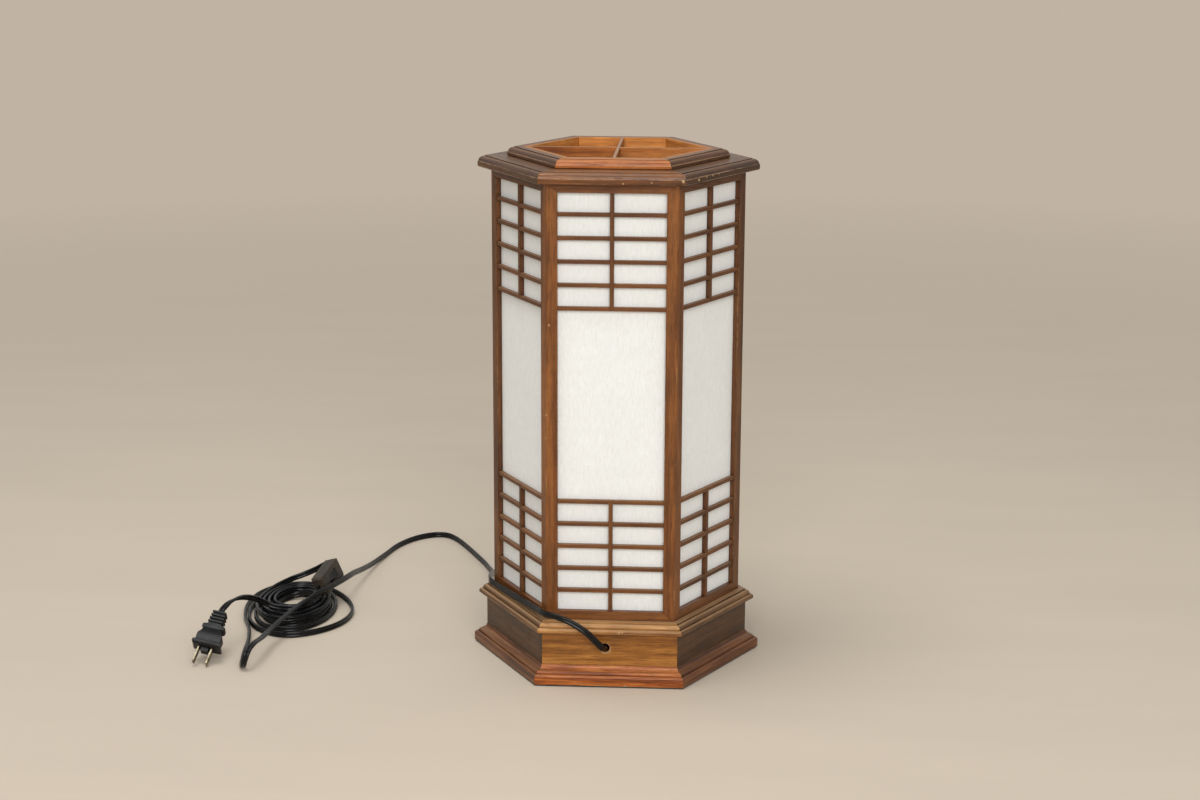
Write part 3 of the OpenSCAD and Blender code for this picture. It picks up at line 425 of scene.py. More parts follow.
@dataclass(frozen=True)
class MouldedFinish(Finish):
    """Moulded plastic or rubber with a fine grain, and scuffed edges that also carry painted highlights."""

    colour: Colour
    worn_and_lit: Colour
    roughness: float
    specks: float = 1800
    relief: float = 0.15
    coat: float = 0.0
    shine: float = 0.5
    wear_and_highlight: float = 0.7

    def inputs(self, s: Shader) -> Inputs:
        """Returns the inputs of the main shader."""
        place = s.object_place()
        grain = s.group("specks", {"Place": place, "Scale": self.specks})
        rubbed_and_lit = s.group("wear_and_highlight", {"Place": place, "Edge": s.attribute("edge"), "Amount": self.wear_and_highlight})
        share = s.fit(grain.outputs["Clouds"], 0.4, 0.75, 0, 0.3)
        # The edge colour is part wear and part painted highlight, such as the lit rim round the switch's rocker
        colour = s.blend(s.maths("MAXIMUM", share, rubbed_and_lit.outputs["Mask"]), self.colour, self.worn_and_lit)
        rough = s.fit(grain.outputs["Clouds"], 0.3, 0.7, self.roughness - 0.05, self.roughness + 0.12)
        return {"Base Color": colour, "Roughness": rough, "Specular IOR Level": self.shine,
                "Coat Weight": self.coat, "Coat Roughness": 0.12,
                "Normal": s.bump(grain.outputs["Specks"], self.relief, 0.2 * MM)}


@dataclass(frozen=True)
class MetalFinish(Finish):
    """Bare metal with stains and fine scratches."""

    colour: Colour
    stain: Colour
    roughness: float
    specks: float = 2600

    def inputs(self, s: Shader) -> Inputs:
        """Returns the inputs of the main shader."""
        grain = s.group("specks", {"Place": s.object_place(), "Scale": self.specks})
        stains = s.fit(grain.outputs["Clouds"], 0.42, 0.7)
        rough = s.fit(grain.outputs["Specks"], 0.3, 0.7, self.roughness - 0.06, self.roughness + 0.1)
        return {"Base Color": s.blend(stains, self.colour, self.stain), "Metallic": 1.0, "Roughness": rough,
                "Normal": s.bump(grain.outputs["Specks"], 0.08, 0.1 * MM)}


@dataclass(frozen=True)
class FeltFinish(Finish):
    """Pressed felt with loose hairs."""

    colour: Colour
    light: Colour
    specks: float = 1400

    def inputs(self, s: Shader) -> Inputs:
        """Returns the inputs of the main shader."""
        grain = s.group("specks", {"Place": s.object_place(), "Scale": self.specks}).outputs["Specks"]
        return {"Base Color": s.blend(s.fit(grain, 0.35, 0.7), self.colour, self.light), "Roughness": 0.95,
                "Sheen Weight": 0.3, "Normal": s.bump(grain, 0.8, 0.6 * MM)}


@dataclass(frozen=True)
class GlassFinish(Finish):
    """The bulb's glass, frosted inside."""

    colour: Colour
    frost: Colour
    specks: float = 700

    def inputs(self, s: Shader) -> Inputs:
        """Returns the inputs of the main shader."""
        grain = s.group("specks", {"Place": s.object_place(), "Scale": self.specks})
        colour = s.blend(s.fit(grain.outputs["Clouds"], 0.3, 0.7), self.colour, self.frost)
        return {"Base Color": colour, "Roughness": 0.35, "Transmission Weight": 0.5, "IOR": 1.5,
                "Metallic": 0.0}


# Shapes


class Run(Enum):
    """Which way a board's grain runs."""

    LONGEST = "longest"
    UPRIGHT = "upright"


@dataclass(frozen=True)
class Edges:
    """How a piece's edges are eased."""

    width: float = 0.35 * MM
    segments: int = 2
    sharper_than: float = 30.0


class Board:
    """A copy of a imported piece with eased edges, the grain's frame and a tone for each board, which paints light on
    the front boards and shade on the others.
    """

    upright = Vector((0, 0, 1))
    level = [Vector((math.cos(math.radians(a)), math.sin(math.radians(a)), 0)) for a in range(0, 180, 30)]
    weld = 0.002 * MM
    flat_within = 0.6
    smooth_below = 50.0
    grain_shift = 9.0

    def __init__(self, frame: dict, node: str, edges: Edges) -> None:
        """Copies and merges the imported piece, and eases its edges."""
        self.node = node
        self.bm = bmesh.new()
        self.bm.from_mesh(frame["nodes"][node].data)
        bmesh.ops.remove_doubles(self.bm, verts=self.bm.verts, dist=self.weld)
        bmesh.ops.dissolve_limit(self.bm, angle_limit=math.radians(self.flat_within), verts=self.bm.verts,
                                 edges=self.bm.edges)
        self.edge_layer = self.bm.faces.layers.float.new("edge")
        if edges.width > 0:
            self.ease(edges)

    def ease(self, edges: Edges) -> None:
        """Rounds the sharp edges and marks the faces of each rounding."""
        limit = math.radians(edges.sharper_than)
        sharp = [e for e in self.bm.edges if e.is_manifold and abs(e.calc_face_angle(0)) > limit]
        made = bmesh.ops.bevel(self.bm, geom=sharp, offset=edges.width, offset_type="OFFSET", segments=edges.segments,
                               profile=0.5, affect="EDGES", clamp_overlap=True, material=-1)
        for face in made["faces"]:
            face[self.edge_layer] = 1.0

    def islands(self) -> list[list[bmesh.types.BMVert]]:
        """Returns the vertices of each loose board."""
        left = set(self.bm.verts)
        found = []
        for seed in self.bm.verts:
            group = []
            stack = [seed]
            while stack:
                vert = stack.pop()
                if vert in left:
                    left.discard(vert)
                    group.append(vert)
                    stack.extend(e.other_vert(vert) for e in vert.link_edges)
            if group:
                found.append(group)
        return sorted(found, key=lambda g: tuple(round(x, 4) for x in sum((v.co for v in g), Vector()) / len(g)))

    def mark_boards(self, run: Run, tone: Callable[[Vector, random.Random], float]) -> None:
        """Gives each board its own place in the grain and its own tone, the share of painted light against painted
        shade.

        Args:
            run: Which way the grain runs.
            tone: Gives a board's tone from its middle.
        """
        rng = random.Random(self.node)
        along_layer = self.bm.verts.layers.float_vector.new("board")
        tone_layer = self.bm.verts.layers.float.new("tone")
        for group in self.islands():
            widest = self.longest(group, self.level)
            along = self.upright if run is Run.UPRIGHT else self.longest(group, [self.upright, *self.level])
            across = widest if along is self.upright else self.upright
            deep = along.cross(across)
            shift = Vector([rng.uniform(-self.grain_shift, self.grain_shift) for _ in range(3)])
            middle = sum((v.co for v in group), Vector()) / len(group)
            value = tone(middle, rng)
            for vert in group:
                vert[along_layer] = Vector((vert.co.dot(along), vert.co.dot(across), vert.co.dot(deep))) + shift
                vert[tone_layer] = value

    @staticmethod
    def longest(group: Iterable[bmesh.types.BMVert], directions: Sequence[Vector]) -> Vector:
        """Returns the first of the directions along which a board is longest."""
        def extent(direction: Vector) -> float:
            """Returns how long the board is along a direction."""
            reach = [v.co.dot(direction) for v in group]
            return round(max(reach) - min(reach), 5)

        return max(directions, key=extent)

    def finish(self, name: str) -> Object:
        """Turns the shape into an object whose flat faces shade flat beside their rounded edges."""
        mesh = bpy.data.meshes.new(name)
        self.bm.to_mesh(mesh)
        self.bm.free()
        piece = shown(mesh, name, self.smooth_below)
        even = piece.modifiers.new("even shading", "WEIGHTED_NORMAL")
        even.keep_sharp = True
        return piece


def shown(mesh: Mesh, name: str, sharp: float) -> Object:
    """Puts a mesh into the scene as an object at the origin.

    Args:
        mesh: The finished mesh.
        name: The object's name.
        sharp: The angle in degrees above which an edge stays sharp.

    Returns:
        The object.
    """
    mesh.shade_smooth()
    mesh.set_sharp_from_angle(angle=math.radians(sharp))
    piece = bpy.data.objects.new(name, mesh)
    bpy.context.scene.collection.objects.link(piece)
    return piece


def attach(piece: Object, body: str, nodes: Sequence[str], material: Material) -> None:
    """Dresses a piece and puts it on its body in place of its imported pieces.

    Args:
        piece: The piece.
        body: The body that it rides on.
        nodes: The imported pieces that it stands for.
        material: Its material.
    """
    piece.data.materials.clear()
    piece.data.materials.append(material)
    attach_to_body(piece, body)
    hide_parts(*nodes)
    log.info("%s: %d faces on %s", piece.name, len(piece.data.polygons), body)


# The front boards face the key light: their tone paints light on them, and shade on the boards round the sides
FRONT_AZIMUTH = -90.0
FRONT_REACH = 29.0


def lit_and_shaded_sides(front: float, others: float, spread: float,
              reach: float = FRONT_REACH) -> Callable[[Vector, random.Random], float]:
    """Makes a rule for a board's tone that paints the front side lit and the other sides shaded, with a random stray.

    Args:
        front: The tone of the front boards, in painted light.
        others: The tone of all other boards, in painted shade.
        spread: How far the tone may stray.
        reach: How many degrees to each side of the front still count as front.

    Returns:
        The rule, from a board's middle to its tone.
    """
    def rule(middle: Vector, rng: random.Random) -> float:
        """Gives the tone of the board whose middle this is."""
        azimuth = math.degrees(math.atan2(middle.y, middle.x))
        base = front if abs(azimuth - FRONT_AZIMUTH) < reach else others
        return min(1.0, max(0.0, base + rng.uniform(-spread, spread)))

    return rule


# Finishes

# Each finish blends a palette in painted shade, for boards turned from the key light, with one in painted light, for
# the front boards
SHADED_WALNUT = Palette(tint(34, 20, 10), tint(62, 39, 22), tint(94, 62, 36))
BROWN_WALNUT = Palette(tint(66, 34, 10), tint(124, 72, 28), tint(166, 104, 48))
GOLDEN_WALNUT = Palette(tint(88, 48, 12), tint(158, 100, 38), tint(204, 144, 72))
RED_WALNUT = Palette(tint(86, 32, 8), tint(172, 90, 28), tint(230, 152, 76))
ORANGE_WALNUT = Palette(tint(122, 58, 14), tint(190, 108, 38), tint(226, 150, 76))
HONEY_WALNUT = Palette(tint(112, 68, 26), tint(180, 126, 66), tint(224, 174, 112))
PALE_BARE = tint(186, 150, 106)
BROWN_DUST_AND_SHEEN = tint(148, 108, 76)

PANEL_FINISH = WoodFinish("panel walnut", SHADED_WALNUT, GOLDEN_WALNUT, figure=2.6, roughness=0.42, coat=0.12, wear_and_highlight=0.3,
                          chips=(((-0.0038, -0.1063, 0.0336), 0.0056),))
FOOT_FINISH = WoodFinish("foot walnut", SHADED_WALNUT, RED_WALNUT, figure=3.4, roughness=0.4, coat=0.2, wear_and_highlight=1.0,
                         dust_and_sheen=0.3, chips=(((0.0148, -0.1169, 0.0015), 0.0018), ((-0.0095, -0.1169, 0.0015), 0.0011)))
LEDGE_FINISH = WoodFinish("ledge walnut", SHADED_WALNUT, HONEY_WALNUT, figure=2.4, roughness=0.38, coat=0.2, wear_and_highlight=1.0,
                          dust_and_sheen=0.7, dust_and_sheen_colour=tint(176, 140, 102),
                          chips=(((0.0089, -0.1128, 0.0511), 0.0014), ((0.0118, -0.1128, 0.0513), 0.001)))
FRAME_FINISH = WoodFinish("frame walnut", SHADED_WALNUT, BROWN_WALNUT, figure=2.2, roughness=0.43, coat=0.12, wear_and_highlight=0.5,
                          chips=(((-0.0586, -0.1001, 0.2278), 0.0013), ((-0.0577, -0.1001, 0.2489), 0.0012),
                                 ((-0.0549, -0.1001, 0.3303), 0.0012), ((0.0587, -0.1001, 0.2918), 0.0012)))
LATTICE_FINISH = WoodFinish("lattice walnut", SHADED_WALNUT, BROWN_WALNUT, figure=2.0, roughness=0.46, coat=0.08,
                            wear_and_highlight=0.4, dust_and_sheen=0.5)
CAP_FINISH = WoodFinish("cap walnut", SHADED_WALNUT, BROWN_WALNUT, figure=2.6, roughness=0.34, coat=0.18, wear_and_highlight=1.0,
                        dust_and_sheen=0.25, dust_and_sheen_colour=BROWN_DUST_AND_SHEEN, bare=PALE_BARE,
                        chips=(((0.0615, -0.111, 0.4597), 0.0016), ((0.0746, -0.0927, 0.4587), 0.0015),
                               ((0.0814, -0.0811, 0.4598), 0.001), ((0.0865, -0.0722, 0.4599), 0.0011),
                               ((0.0916, -0.0633, 0.4601), 0.001), ((0.0099, -0.111, 0.4571), 0.0009),
                               ((0.0347, -0.111, 0.4582), 0.0009)))
CROWN_FINISH = WoodFinish("crown walnut", SHADED_WALNUT, ORANGE_WALNUT, figure=2.4, roughness=0.34, coat=0.18, wear_and_highlight=0.9,
                          dust_and_sheen=0.4, dust_and_sheen_colour=BROWN_DUST_AND_SHEEN, bare=PALE_BARE,
                          chips=(((0.0069, -0.0876, 0.4694), 0.0008), ((0.0476, -0.0876, 0.4724), 0.0009)))
LINER_FINISH = WoodFinish("liner walnut", Palette(tint(60, 30, 14), tint(96, 54, 24), tint(124, 74, 38)),
                          Palette(tint(168, 90, 28), tint(238, 154, 72), tint(252, 196, 118)), figure=2.2,
                          roughness=0.5, coat=0.05, wear_and_highlight=0.2, dust_and_sheen=0.85, dust_and_sheen_colour=BROWN_DUST_AND_SHEEN)
CROSS_FINISH = WoodFinish("cross board walnut", BROWN_WALNUT, ORANGE_WALNUT, figure=2.8, roughness=0.5, coat=0.05,
                          wear_and_highlight=0.4, dust_and_sheen=0.85, dust_and_sheen_colour=tint(158, 136, 112))
STOP_FINISH = WoodFinish("stop strip walnut", SHADED_WALNUT, BROWN_WALNUT, figure=1.4, roughness=0.6, coat=0.0, wear_and_highlight=0.1)
PINE_FINISH = WoodFinish("pale board", Palette(tint(150, 112, 70), tint(186, 148, 100), tint(208, 172, 124)),
                         Palette(tint(150, 112, 70), tint(190, 150, 102), tint(214, 178, 130)), figure=1.5,
                         roughness=0.65, coat=0.0, wear_and_highlight=0.1)
PAPER_FINISH = PaperFinish("rice paper", tint(243, 245, 244), tint(229, 230, 226))
FELT_FINISH = FeltFinish("felt", tint(40, 39, 38), tint(74, 72, 69))
BRASS_FINISH = MetalFinish("holder brass", tint(196, 160, 92), tint(140, 104, 52), 0.32)
STEEL_FINISH = MetalFinish("screw steel", tint(188, 186, 182), tint(120, 116, 110), 0.35)
BASE_FINISH = MetalFinish("bulb base metal", tint(206, 206, 208), tint(168, 168, 168), 0.3)
BLADE_FINISH = MetalFinish("blade metal", tint(146, 136, 114), tint(92, 82, 66), 0.36)
INSULATOR_FINISH = MouldedFinish("insulator", tint(44, 34, 30), tint(70, 56, 48), 0.45)
SWITCH_FINISH = MouldedFinish("switch shell", tint(46, 40, 35), tint(122, 106, 86), 0.42, relief=0.2, shine=0.3)
ROCKER_FINISH = MouldedFinish("rocker", tint(9, 8, 8), tint(30, 28, 26), 0.16, relief=0.03, coat=0.3, shine=0.3)
PLUG_FINISH = MouldedFinish("plug moulding", tint(17, 16, 16), tint(40, 38, 37), 0.36, relief=0.15, shine=0.25)
CORD_FINISH = MouldedFinish("cord jacket", tint(11, 11, 12), tint(26, 26, 27), 0.24, specks=900, relief=0.04,
                            coat=0.12, shine=0.22)
GLASS_FINISH = GlassFinish("frosted glass", tint(226, 226, 222), tint(236, 236, 232))


# Cord set


def steered(turn: Point) -> Matrix:
    """Returns the turn of a piece from its pitch, roll and heading in degrees."""
    pitch, roll, heading = (math.radians(a) for a in turn)
    return Matrix.Rotation(heading, 3, "Z") @ Matrix.Rotation(pitch, 3, "X") @ Matrix.Rotation(roll, 3, "Y")


def smooth_route(stops: Sequence[Stop], steps: int) -> list[Stop]:
    """Runs a smooth curve through the places of a route.

    Args:
        stops: The route's places, each with the way that the cord's wide side points.
        steps: How many steps lie between neighbours.

    Returns:
        The finer route.
    """
    places = [stops[0][0] * 2 - stops[1][0], *(stop[0] for stop in stops), stops[-1][0] * 2 - stops[-2][0]]
    route = []
    for index in range(len(stops) - 1):
        a, b, c, d = places[index:index + 4]
        for step in range(steps):
            t = step / steps
            place = (b * 2 + (c - a) * t + (a * 2 - b * 5 + c * 4 - d) * t * t
                     + (b * 3 - a - c * 3 + d) * t * t * t) / 2
            route.append((place, stops[index][1] * (1 - t) + stops[index + 1][1] * t))
    route.append(stops[-1])
    return route


@dataclass
class Twin:
    """A flat twin cord: two round wires side by side, joined by a web."""

    width: float
    thickness: float
    wire_turn: float = 138.0
    wire_corners: int = 10
    web: float = 0.5
    smooth_below: float = 60.0

    def section(self) -> list[tuple[float, float]]:
        """Returns the section's corners, round it."""
        radius = self.thickness / 2
        middle = self.width / 2 - radius
        corners = []
        for side in (1, -1):
            for step in range(self.wire_corners):
                angle = math.radians(self.wire_turn * (2 * step / (self.wire_corners - 1) - 1))
                corners.append((side * (middle + radius * math.cos(angle)), side * radius * math.sin(angle)))
            corners.append((0.0, side * radius * self.web))
        return corners

    def swept(self, route: Sequence[Stop], name: str) -> Object:
        """Draws the cord along a route.

        Args:
            route: The places that it passes, each with the way that its wide side points.
            name: The piece's name.

        Returns:
            The cord.
        """
        bm = bmesh.new()
        outline = self.section()
        ring = [bm.verts.new((x, y, 0)) for x, y in outline]
        loop = [bm.edges.new((ring[i], ring[(i + 1) % len(ring)])) for i in range(len(ring))]
        first = ring
        for index, (place, hint) in enumerate(route):
            ahead = (route[min(index + 1, len(route) - 1)][0] - route[max(index - 1, 0)][0]).normalized()
            thin = ahead.cross(hint).normalized()
            wide = thin.cross(ahead).normalized()
            if index:
                grown = bmesh.ops.extrude_edge_only(bm, edges=loop)["geom"]
                fresh = {v for v in grown if isinstance(v, bmesh.types.BMVert)}
                loop = [e for e in grown if isinstance(e, bmesh.types.BMEdge) and set(e.verts) <= fresh]
                ring = [next(e.other_vert(v) for e in v.link_edges if e.other_vert(v) in fresh) for v in ring]
            for vert, (x, y) in zip(ring, outline):
                vert.co = place + wide * x + thin * y
        bm.faces.new(first)
        bm.faces.new(ring)
        bmesh.ops.recalc_face_normals(bm, faces=bm.faces)
        mesh = bpy.data.meshes.new(name)
        bm.to_mesh(mesh)
        bm.free()
        return shown(mesh, name, self.smooth_below)


UP: Point = (0, 0, 1)
ALONG_X: Point = (1, 0, 0)
EXIT: Point = (0.78, 0, 0.62)


def leaning(wide: Point, *places: Point) -> list[Waypoint]:
    """Returns places of a route where the cord's wide side points one way."""
    return [(place, wide) for place in places]


LEAD = leaning(EXIT, (-4, -100.01, 34.2), (-4, -106.31, 34.2), (-6, -114, 36.7), (-11, -118, 43.5), (-21, -119, 53.5))
LEAD += [((-34, -118, 61.5), (0.6, -0.2, 0.8)), ((-48, -115, 66), (0.4, -0.4, 0.8)),
         ((-60, -107, 66.5), (0.2, -0.3, 1))]
LEAD += leaning(UP, (-73, -83, 64.5), (-111, -18, 62), (-120.5, 4, 61.5), (-123, 60, 49), (-127, 130, 24),
                (-131, 165, 12), (-141, 202, 4.5), (-156, 242, 3.1), (-189, 310, 3.1), (-209, 328, 3.1),
                (-232, 317, 3.1), (-250, 288, 3.1), (-260, 250, 3.4), (-267, 210, 6.5))
LEAD += [((-271.5, 172, 12.5), (-0.1, 0, 1)), ((-274.5, 140, 19), (-0.25, -0.1, 0.95)),
         ((-277, 114, 23), (-0.35, -0.1, 0.93)), ((-282, 92, 24.6), (-0.35, -0.1, 0.93)),
         ((-287, 76, 25.6), (-0.2, 0, 0.95)), ((-293.5, 59, 26), (0.3, 0.1, 0.8)), ((-302, 44, 24.2), (0.8, 0.3, 0.4)),
         ((-311.5, 22, 21.6), (0.9, 0.3, 0.2)), ((-324, -26, 18.5), (0.9, 0.2, 0.2))]
LEAD += leaning(ALONG_X, (-327.5, -58, 19.5), (-330.3, -82, 22), (-333.3, -94.5, 19.5), (-336, -98.5, 12),
                (-338.7, -94.5, 4.5), (-342, -82, 1.8))
LEAD += [((-346, -52, 2.3), (1, 0.1, 0.3)), ((-350, -18, 3.2), (0.4, 0, 0.9)), ((-357, 14, 3.1), UP)]
LOOP = leaning(UP, *((x, y, 3.1) for x, y in (
    (-367, 45), (-371.5, 82), (-365.5, 117), (-346.5, 141.5), (-318, 146), (-291, 124), (-272, 94), (-264, 62),
    (-270, 31), (-289, 6), (-315, -6), (-340, 4), (-358, 29))))
RISER = leaning(UP, (-352, 108, 11), (-339, 127, 14), (-326, 134.5, 17.5), (-313.5, 136, 22.8), (-304, 133.8, 28.6))
RISER += [((-295.6, 130.6, 33), (-0.2, 0, 1)), ((-291.3, 128, 34.2), (-0.3, -0.1, 0.95))]
TAIL = leaning((-0.2, 0, 1), (-300, 61, 20.2))
TAIL += leaning(UP, (-303, 51, 17.6), (-309, 41, 16.4), (-319, 35, 16.3), (-332, 35, 16.6), (-343, 34, 20.5),
                (-350, 24, 28))
TAIL += [((-354.5, 9, 34.8), (0.3, 0.1, 0.9)), ((-358.5, -6, 39.8), (0.7, 0.2, 0.7)),
         ((-361.5, -20, 42.6), (0.9, 0.2, 0.4)), ((-364.5, -31, 43), (0.9, 0.2, 0.2))]
INNER = leaning(ALONG_X, (0, 0, 71.5), (0, 0, 63.5), (0, 0, 52), (0, 0, 42), (0, -2, 32), (0, -12, 21),
                (-1, -32, 15), (-3, -56, 17), (-4, -76, 26))
INNER += leaning(EXIT, (-4, -90.31, 34.2), (-4, -100.01, 34.2))


@dataclass
class Coil:
    """The wound part of the cord: a flat spiral inwards, and a second one outwards on top of it."""

    middle: tuple[float, float] = (-323, 68)
    half: tuple[float, float] = (43, 70)
    step: tuple[float, float] = (6, 11)
    drift: tuple[float, float] = (0, 4)
    inwards: float = 4.25
    outwards: float = 3.75
    rate: float = 0.82
    lower: float = 3.1
    layer: float = 6.8
    climb: float = 0.3
    stops_per_turn: int = 12

    def place(self, turns: float) -> Point:
        """Returns where the cord is after a number of turns, in millimetres."""
        in_turns = turns if turns < self.inwards else self.inwards - self.rate * (turns - self.inwards)
        rise = min(1.0, max(0.0, (turns - self.inwards) / self.climb + 0.5))
        angle = math.tau * turns
        return (self.middle[0] + self.drift[0] * in_turns - (self.half[0] - self.step[0] * in_turns) * math.cos(angle),
                self.middle[1] + self.drift[1] * in_turns + (self.half[1] - self.step[1] * in_turns) * math.sin(angle),
                self.lower + self.layer * rise * rise * (3 - 2 * rise))

    def stops(self) -> list[Waypoint]:
        """Returns the coil's places, from the first to the last turn."""
        last = int(self.stops_per_turn * (self.inwards + self.outwards))
        return leaning(UP, *(self.place(i / self.stops_per_turn) for i in range(last + 1)))


@dataclass
class CordSet:
    """The flat cord with its switch and plug, placed in millimetres and turned in degrees."""

    frame: dict
    width: float = 6 * MM
    thickness: float = 3 * MM
    switch_at: Point = (-293.7, 95.6, 28.4)
    switch_turn: Point = (13, 72, -12.5)
    switch_half: float = 21
    into_switch: float = 3
    out_of_switch: float = 6
    bend_to_switch: Point = (-288.8, 123.5, 34.5)
    plug_at: Point = (-380.4, -90, 3.8)
    plug_turn: Point = (36.7, 12, -14.3)
    plug_reach: float = 56.5
    into_plug: float = 4
    bend_to_plug: Point = (-366.8, -38.5, 41.5)
    hole: Point = (-4, -106.31, 34.2)
    main_length: float = 3.56
    tail_length: float = 0.165
    inner_length: float = 0.148
    steps: int = 5

    def off_switch(self, end: float, further: float) -> Waypoint:
        """Returns the place off one end of the switch, and the way of its upper flank."""
        turn = steered(self.switch_turn)
        place = Vector(self.switch_at) + turn.col[1] * end * (self.switch_half + further)
        return tuple(place), tuple(-turn.col[0])

    def off_plug(self, further: float) -> Waypoint:
        """Returns the place behind the plug, and the way of its flank."""
        turn = steered(self.plug_turn)
        return tuple(Vector(self.plug_at) + turn.col[1] * (self.plug_reach + further)), tuple(turn.col[0])

    def metres(self, stops: Sequence[Waypoint]) -> list[Stop]:
        """Turns a route's places into metres, and makes the route smooth."""
        return smooth_route([(Vector(place) * MM, Vector(hint)) for place, hint in stops], self.steps)

    def main_stops(self) -> list[Waypoint]:
        """Returns the places from the hole over the coil to the far end of the switch."""
        last = [self.off_switch(1, self.into_switch), self.off_switch(1, 0)]
        return LEAD + LOOP + Coil().stops() + RISER + [(self.bend_to_switch, last[0][1])] + last

    def tail_stops(self) -> list[Waypoint]:
        """Returns the places from the near end of the switch to the plug."""
        first = [self.off_switch(-1, 0), self.off_switch(-1, self.out_of_switch)]
        last = [self.off_plug(self.into_plug), self.off_plug(0)]
        return first + TAIL + [(self.bend_to_plug, last[0][1])] + last

    def build(self) -> None:
        twin = Twin(self.width, self.thickness)
        jacket = CORD_FINISH.material()
        pieces = self.fittings()
        routes = {
            "cord_main": (self.metres(self.main_stops()), ["cord_lead", "cord_coil", "cord_riser"]),
            "cord_to_plug": (self.metres(self.tail_stops()), ["cord_tail"]),
            "cord_inside": (self.metres(INNER), ["inner_lead"]),
        }
        cords = {}
        for name, (route, nodes) in routes.items():
            cords[name] = twin.swept(route, name)
            attach(cords[name], "lamp", nodes, jacket)

    def fittings(self) -> dict[str, Object]:
        """Dresses the switch and the plug, and returns their pieces by name."""
        shell_edges = Edges(0.4 * MM, segments=3, sharper_than=14)
        plan = {
            "switch_top_shell": ("lamp", "switch_shell", SWITCH_FINISH, shell_edges),
            "switch_bottom_shell": ("lamp", "switch_shell", SWITCH_FINISH, shell_edges),
            "switch_rocker": ("rocker", "switch_rocker", ROCKER_FINISH, Edges(segments=3)),
            "switch_screws": ("lamp", "screw_steel", STEEL_FINISH, Edges(0.15 * MM)),
            "plug_body": ("lamp", "plug_moulding", PLUG_FINISH, Edges(0.5 * MM, segments=3)),
            "plug_blades": ("lamp", "blade_metal", BLADE_FINISH, Edges(0.3 * MM)),
        }
        pieces = {}
        for node, (body, slot, finish, edges) in plan.items():
            pieces[node] = Board(self.frame, node, edges).finish("seen_" + node)
            attach(pieces[node], body, [node], finish.material())
        return pieces


# Woodwork


@dataclass(frozen=True)
class Dress:
    """How one kind of packed wooden piece is dressed."""

    nodes: tuple[str, ...]
    body: str
    slot: str
    finish: WoodFinish
    edges: Edges
    run: Run = Run.LONGEST
    # Tones of the front boards and of the others: painted light and painted shade, straying at random
    front: float = 0.8
    others: float = 0.2
    spread: float = 0.12
    reach: float = FRONT_REACH


def numbered(name: str) -> tuple[str, ...]:
    """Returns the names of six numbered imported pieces."""
    return tuple(f"{name}_{k}" for k in range(1, 7))


@dataclass
class Woodwork:
    """All boards, mouldings, posts and bars of the lamp."""

    frame: dict
    moulded: Edges = Edges(0.18 * MM)
    eased: Edges = Edges(0.4 * MM)
    plan: list[Dress] = field(default_factory=list)

    def __post_init__(self) -> None:
        """Lists how each piece is dressed."""
        m, e = self.moulded, self.eased
        self.plan += [
            Dress(("foot_mouldings",), "lamp", "walnut_plinth", FOOT_FINISH, m, front=1.0, others=0.25, spread=0.06),
            Dress(("plinth_panel_front",), "lamp", "walnut_plinth", PANEL_FINISH, m, front=1.0, spread=0),
            Dress(("plinth_panels",), "lamp", "walnut_plinth", PANEL_FINISH, m, others=0.08, spread=0.05),
            Dress(("ledge_mouldings",), "lamp", "walnut_plinth", LEDGE_FINISH, m, front=1.0, others=0.2, spread=0.08),
            Dress(("base_board", "base_blocks"), "lamp", "pale_wood", PINE_FINISH, e),
            Dress(numbered("corner_post"), "lamp", "walnut_frame", FRAME_FINISH, e, Run.UPRIGHT, front=0.85,
                  others=0.38, reach=35),
            Dress(("top_rails", "bottom_rails"), "lamp", "walnut_frame", FRAME_FINISH, e, front=0.85, others=0.6),
            Dress(numbered("lattice_upper") + numbered("lattice_lower"), "lamp", "walnut_lattice", LATTICE_FINISH,
                  Edges(0.25 * MM), front=0.6, others=0.5),
            Dress(("paper_stops",), "lamp", "walnut_inner", STOP_FINISH, Edges(0.2 * MM)),
            Dress(("cap_boards",), "lamp", "walnut_cap", CAP_FINISH, m, front=0.75, others=0.15, spread=0.06),
            Dress(("crown_mouldings",), "crown", "walnut_cap", CROWN_FINISH, m, front=0.95, others=0.08, spread=0.05),
            Dress(("crown_liner",), "crown", "walnut_cap", LINER_FINISH, m, front=0.75, others=0.75, spread=0.15),
            Dress(("cross_board_long", "cross_board_short"), "crown", "walnut_cross", CROSS_FINISH, Edges(0.2 * MM),
                  front=0.6, others=0.6),
        ]

    def build(self) -> None:
        """Makes every wooden piece."""
        for dress in self.plan:
            material = dress.finish.material()
            for node in dress.nodes:
                board = Board(self.frame, node, dress.edges)
                board.mark_boards(dress.run, lit_and_shaded_sides(dress.front, dress.others, dress.spread, dress.reach))
                attach(board.finish("seen_" + node), dress.body, [node], material)


@dataclass
class Papers:
    """The six sheets of rice paper."""

    frame: dict

    def build(self) -> None:
        """Makes every sheet."""
        material = PAPER_FINISH.material()
        for node in numbered("paper"):
            board = Board(self.frame, node, Edges(0))
            board.mark_boards(Run.UPRIGHT, lit_and_shaded_sides(0.5, 0.5, 0))
            attach(board.finish("seen_" + node), "lamp", [node], material)


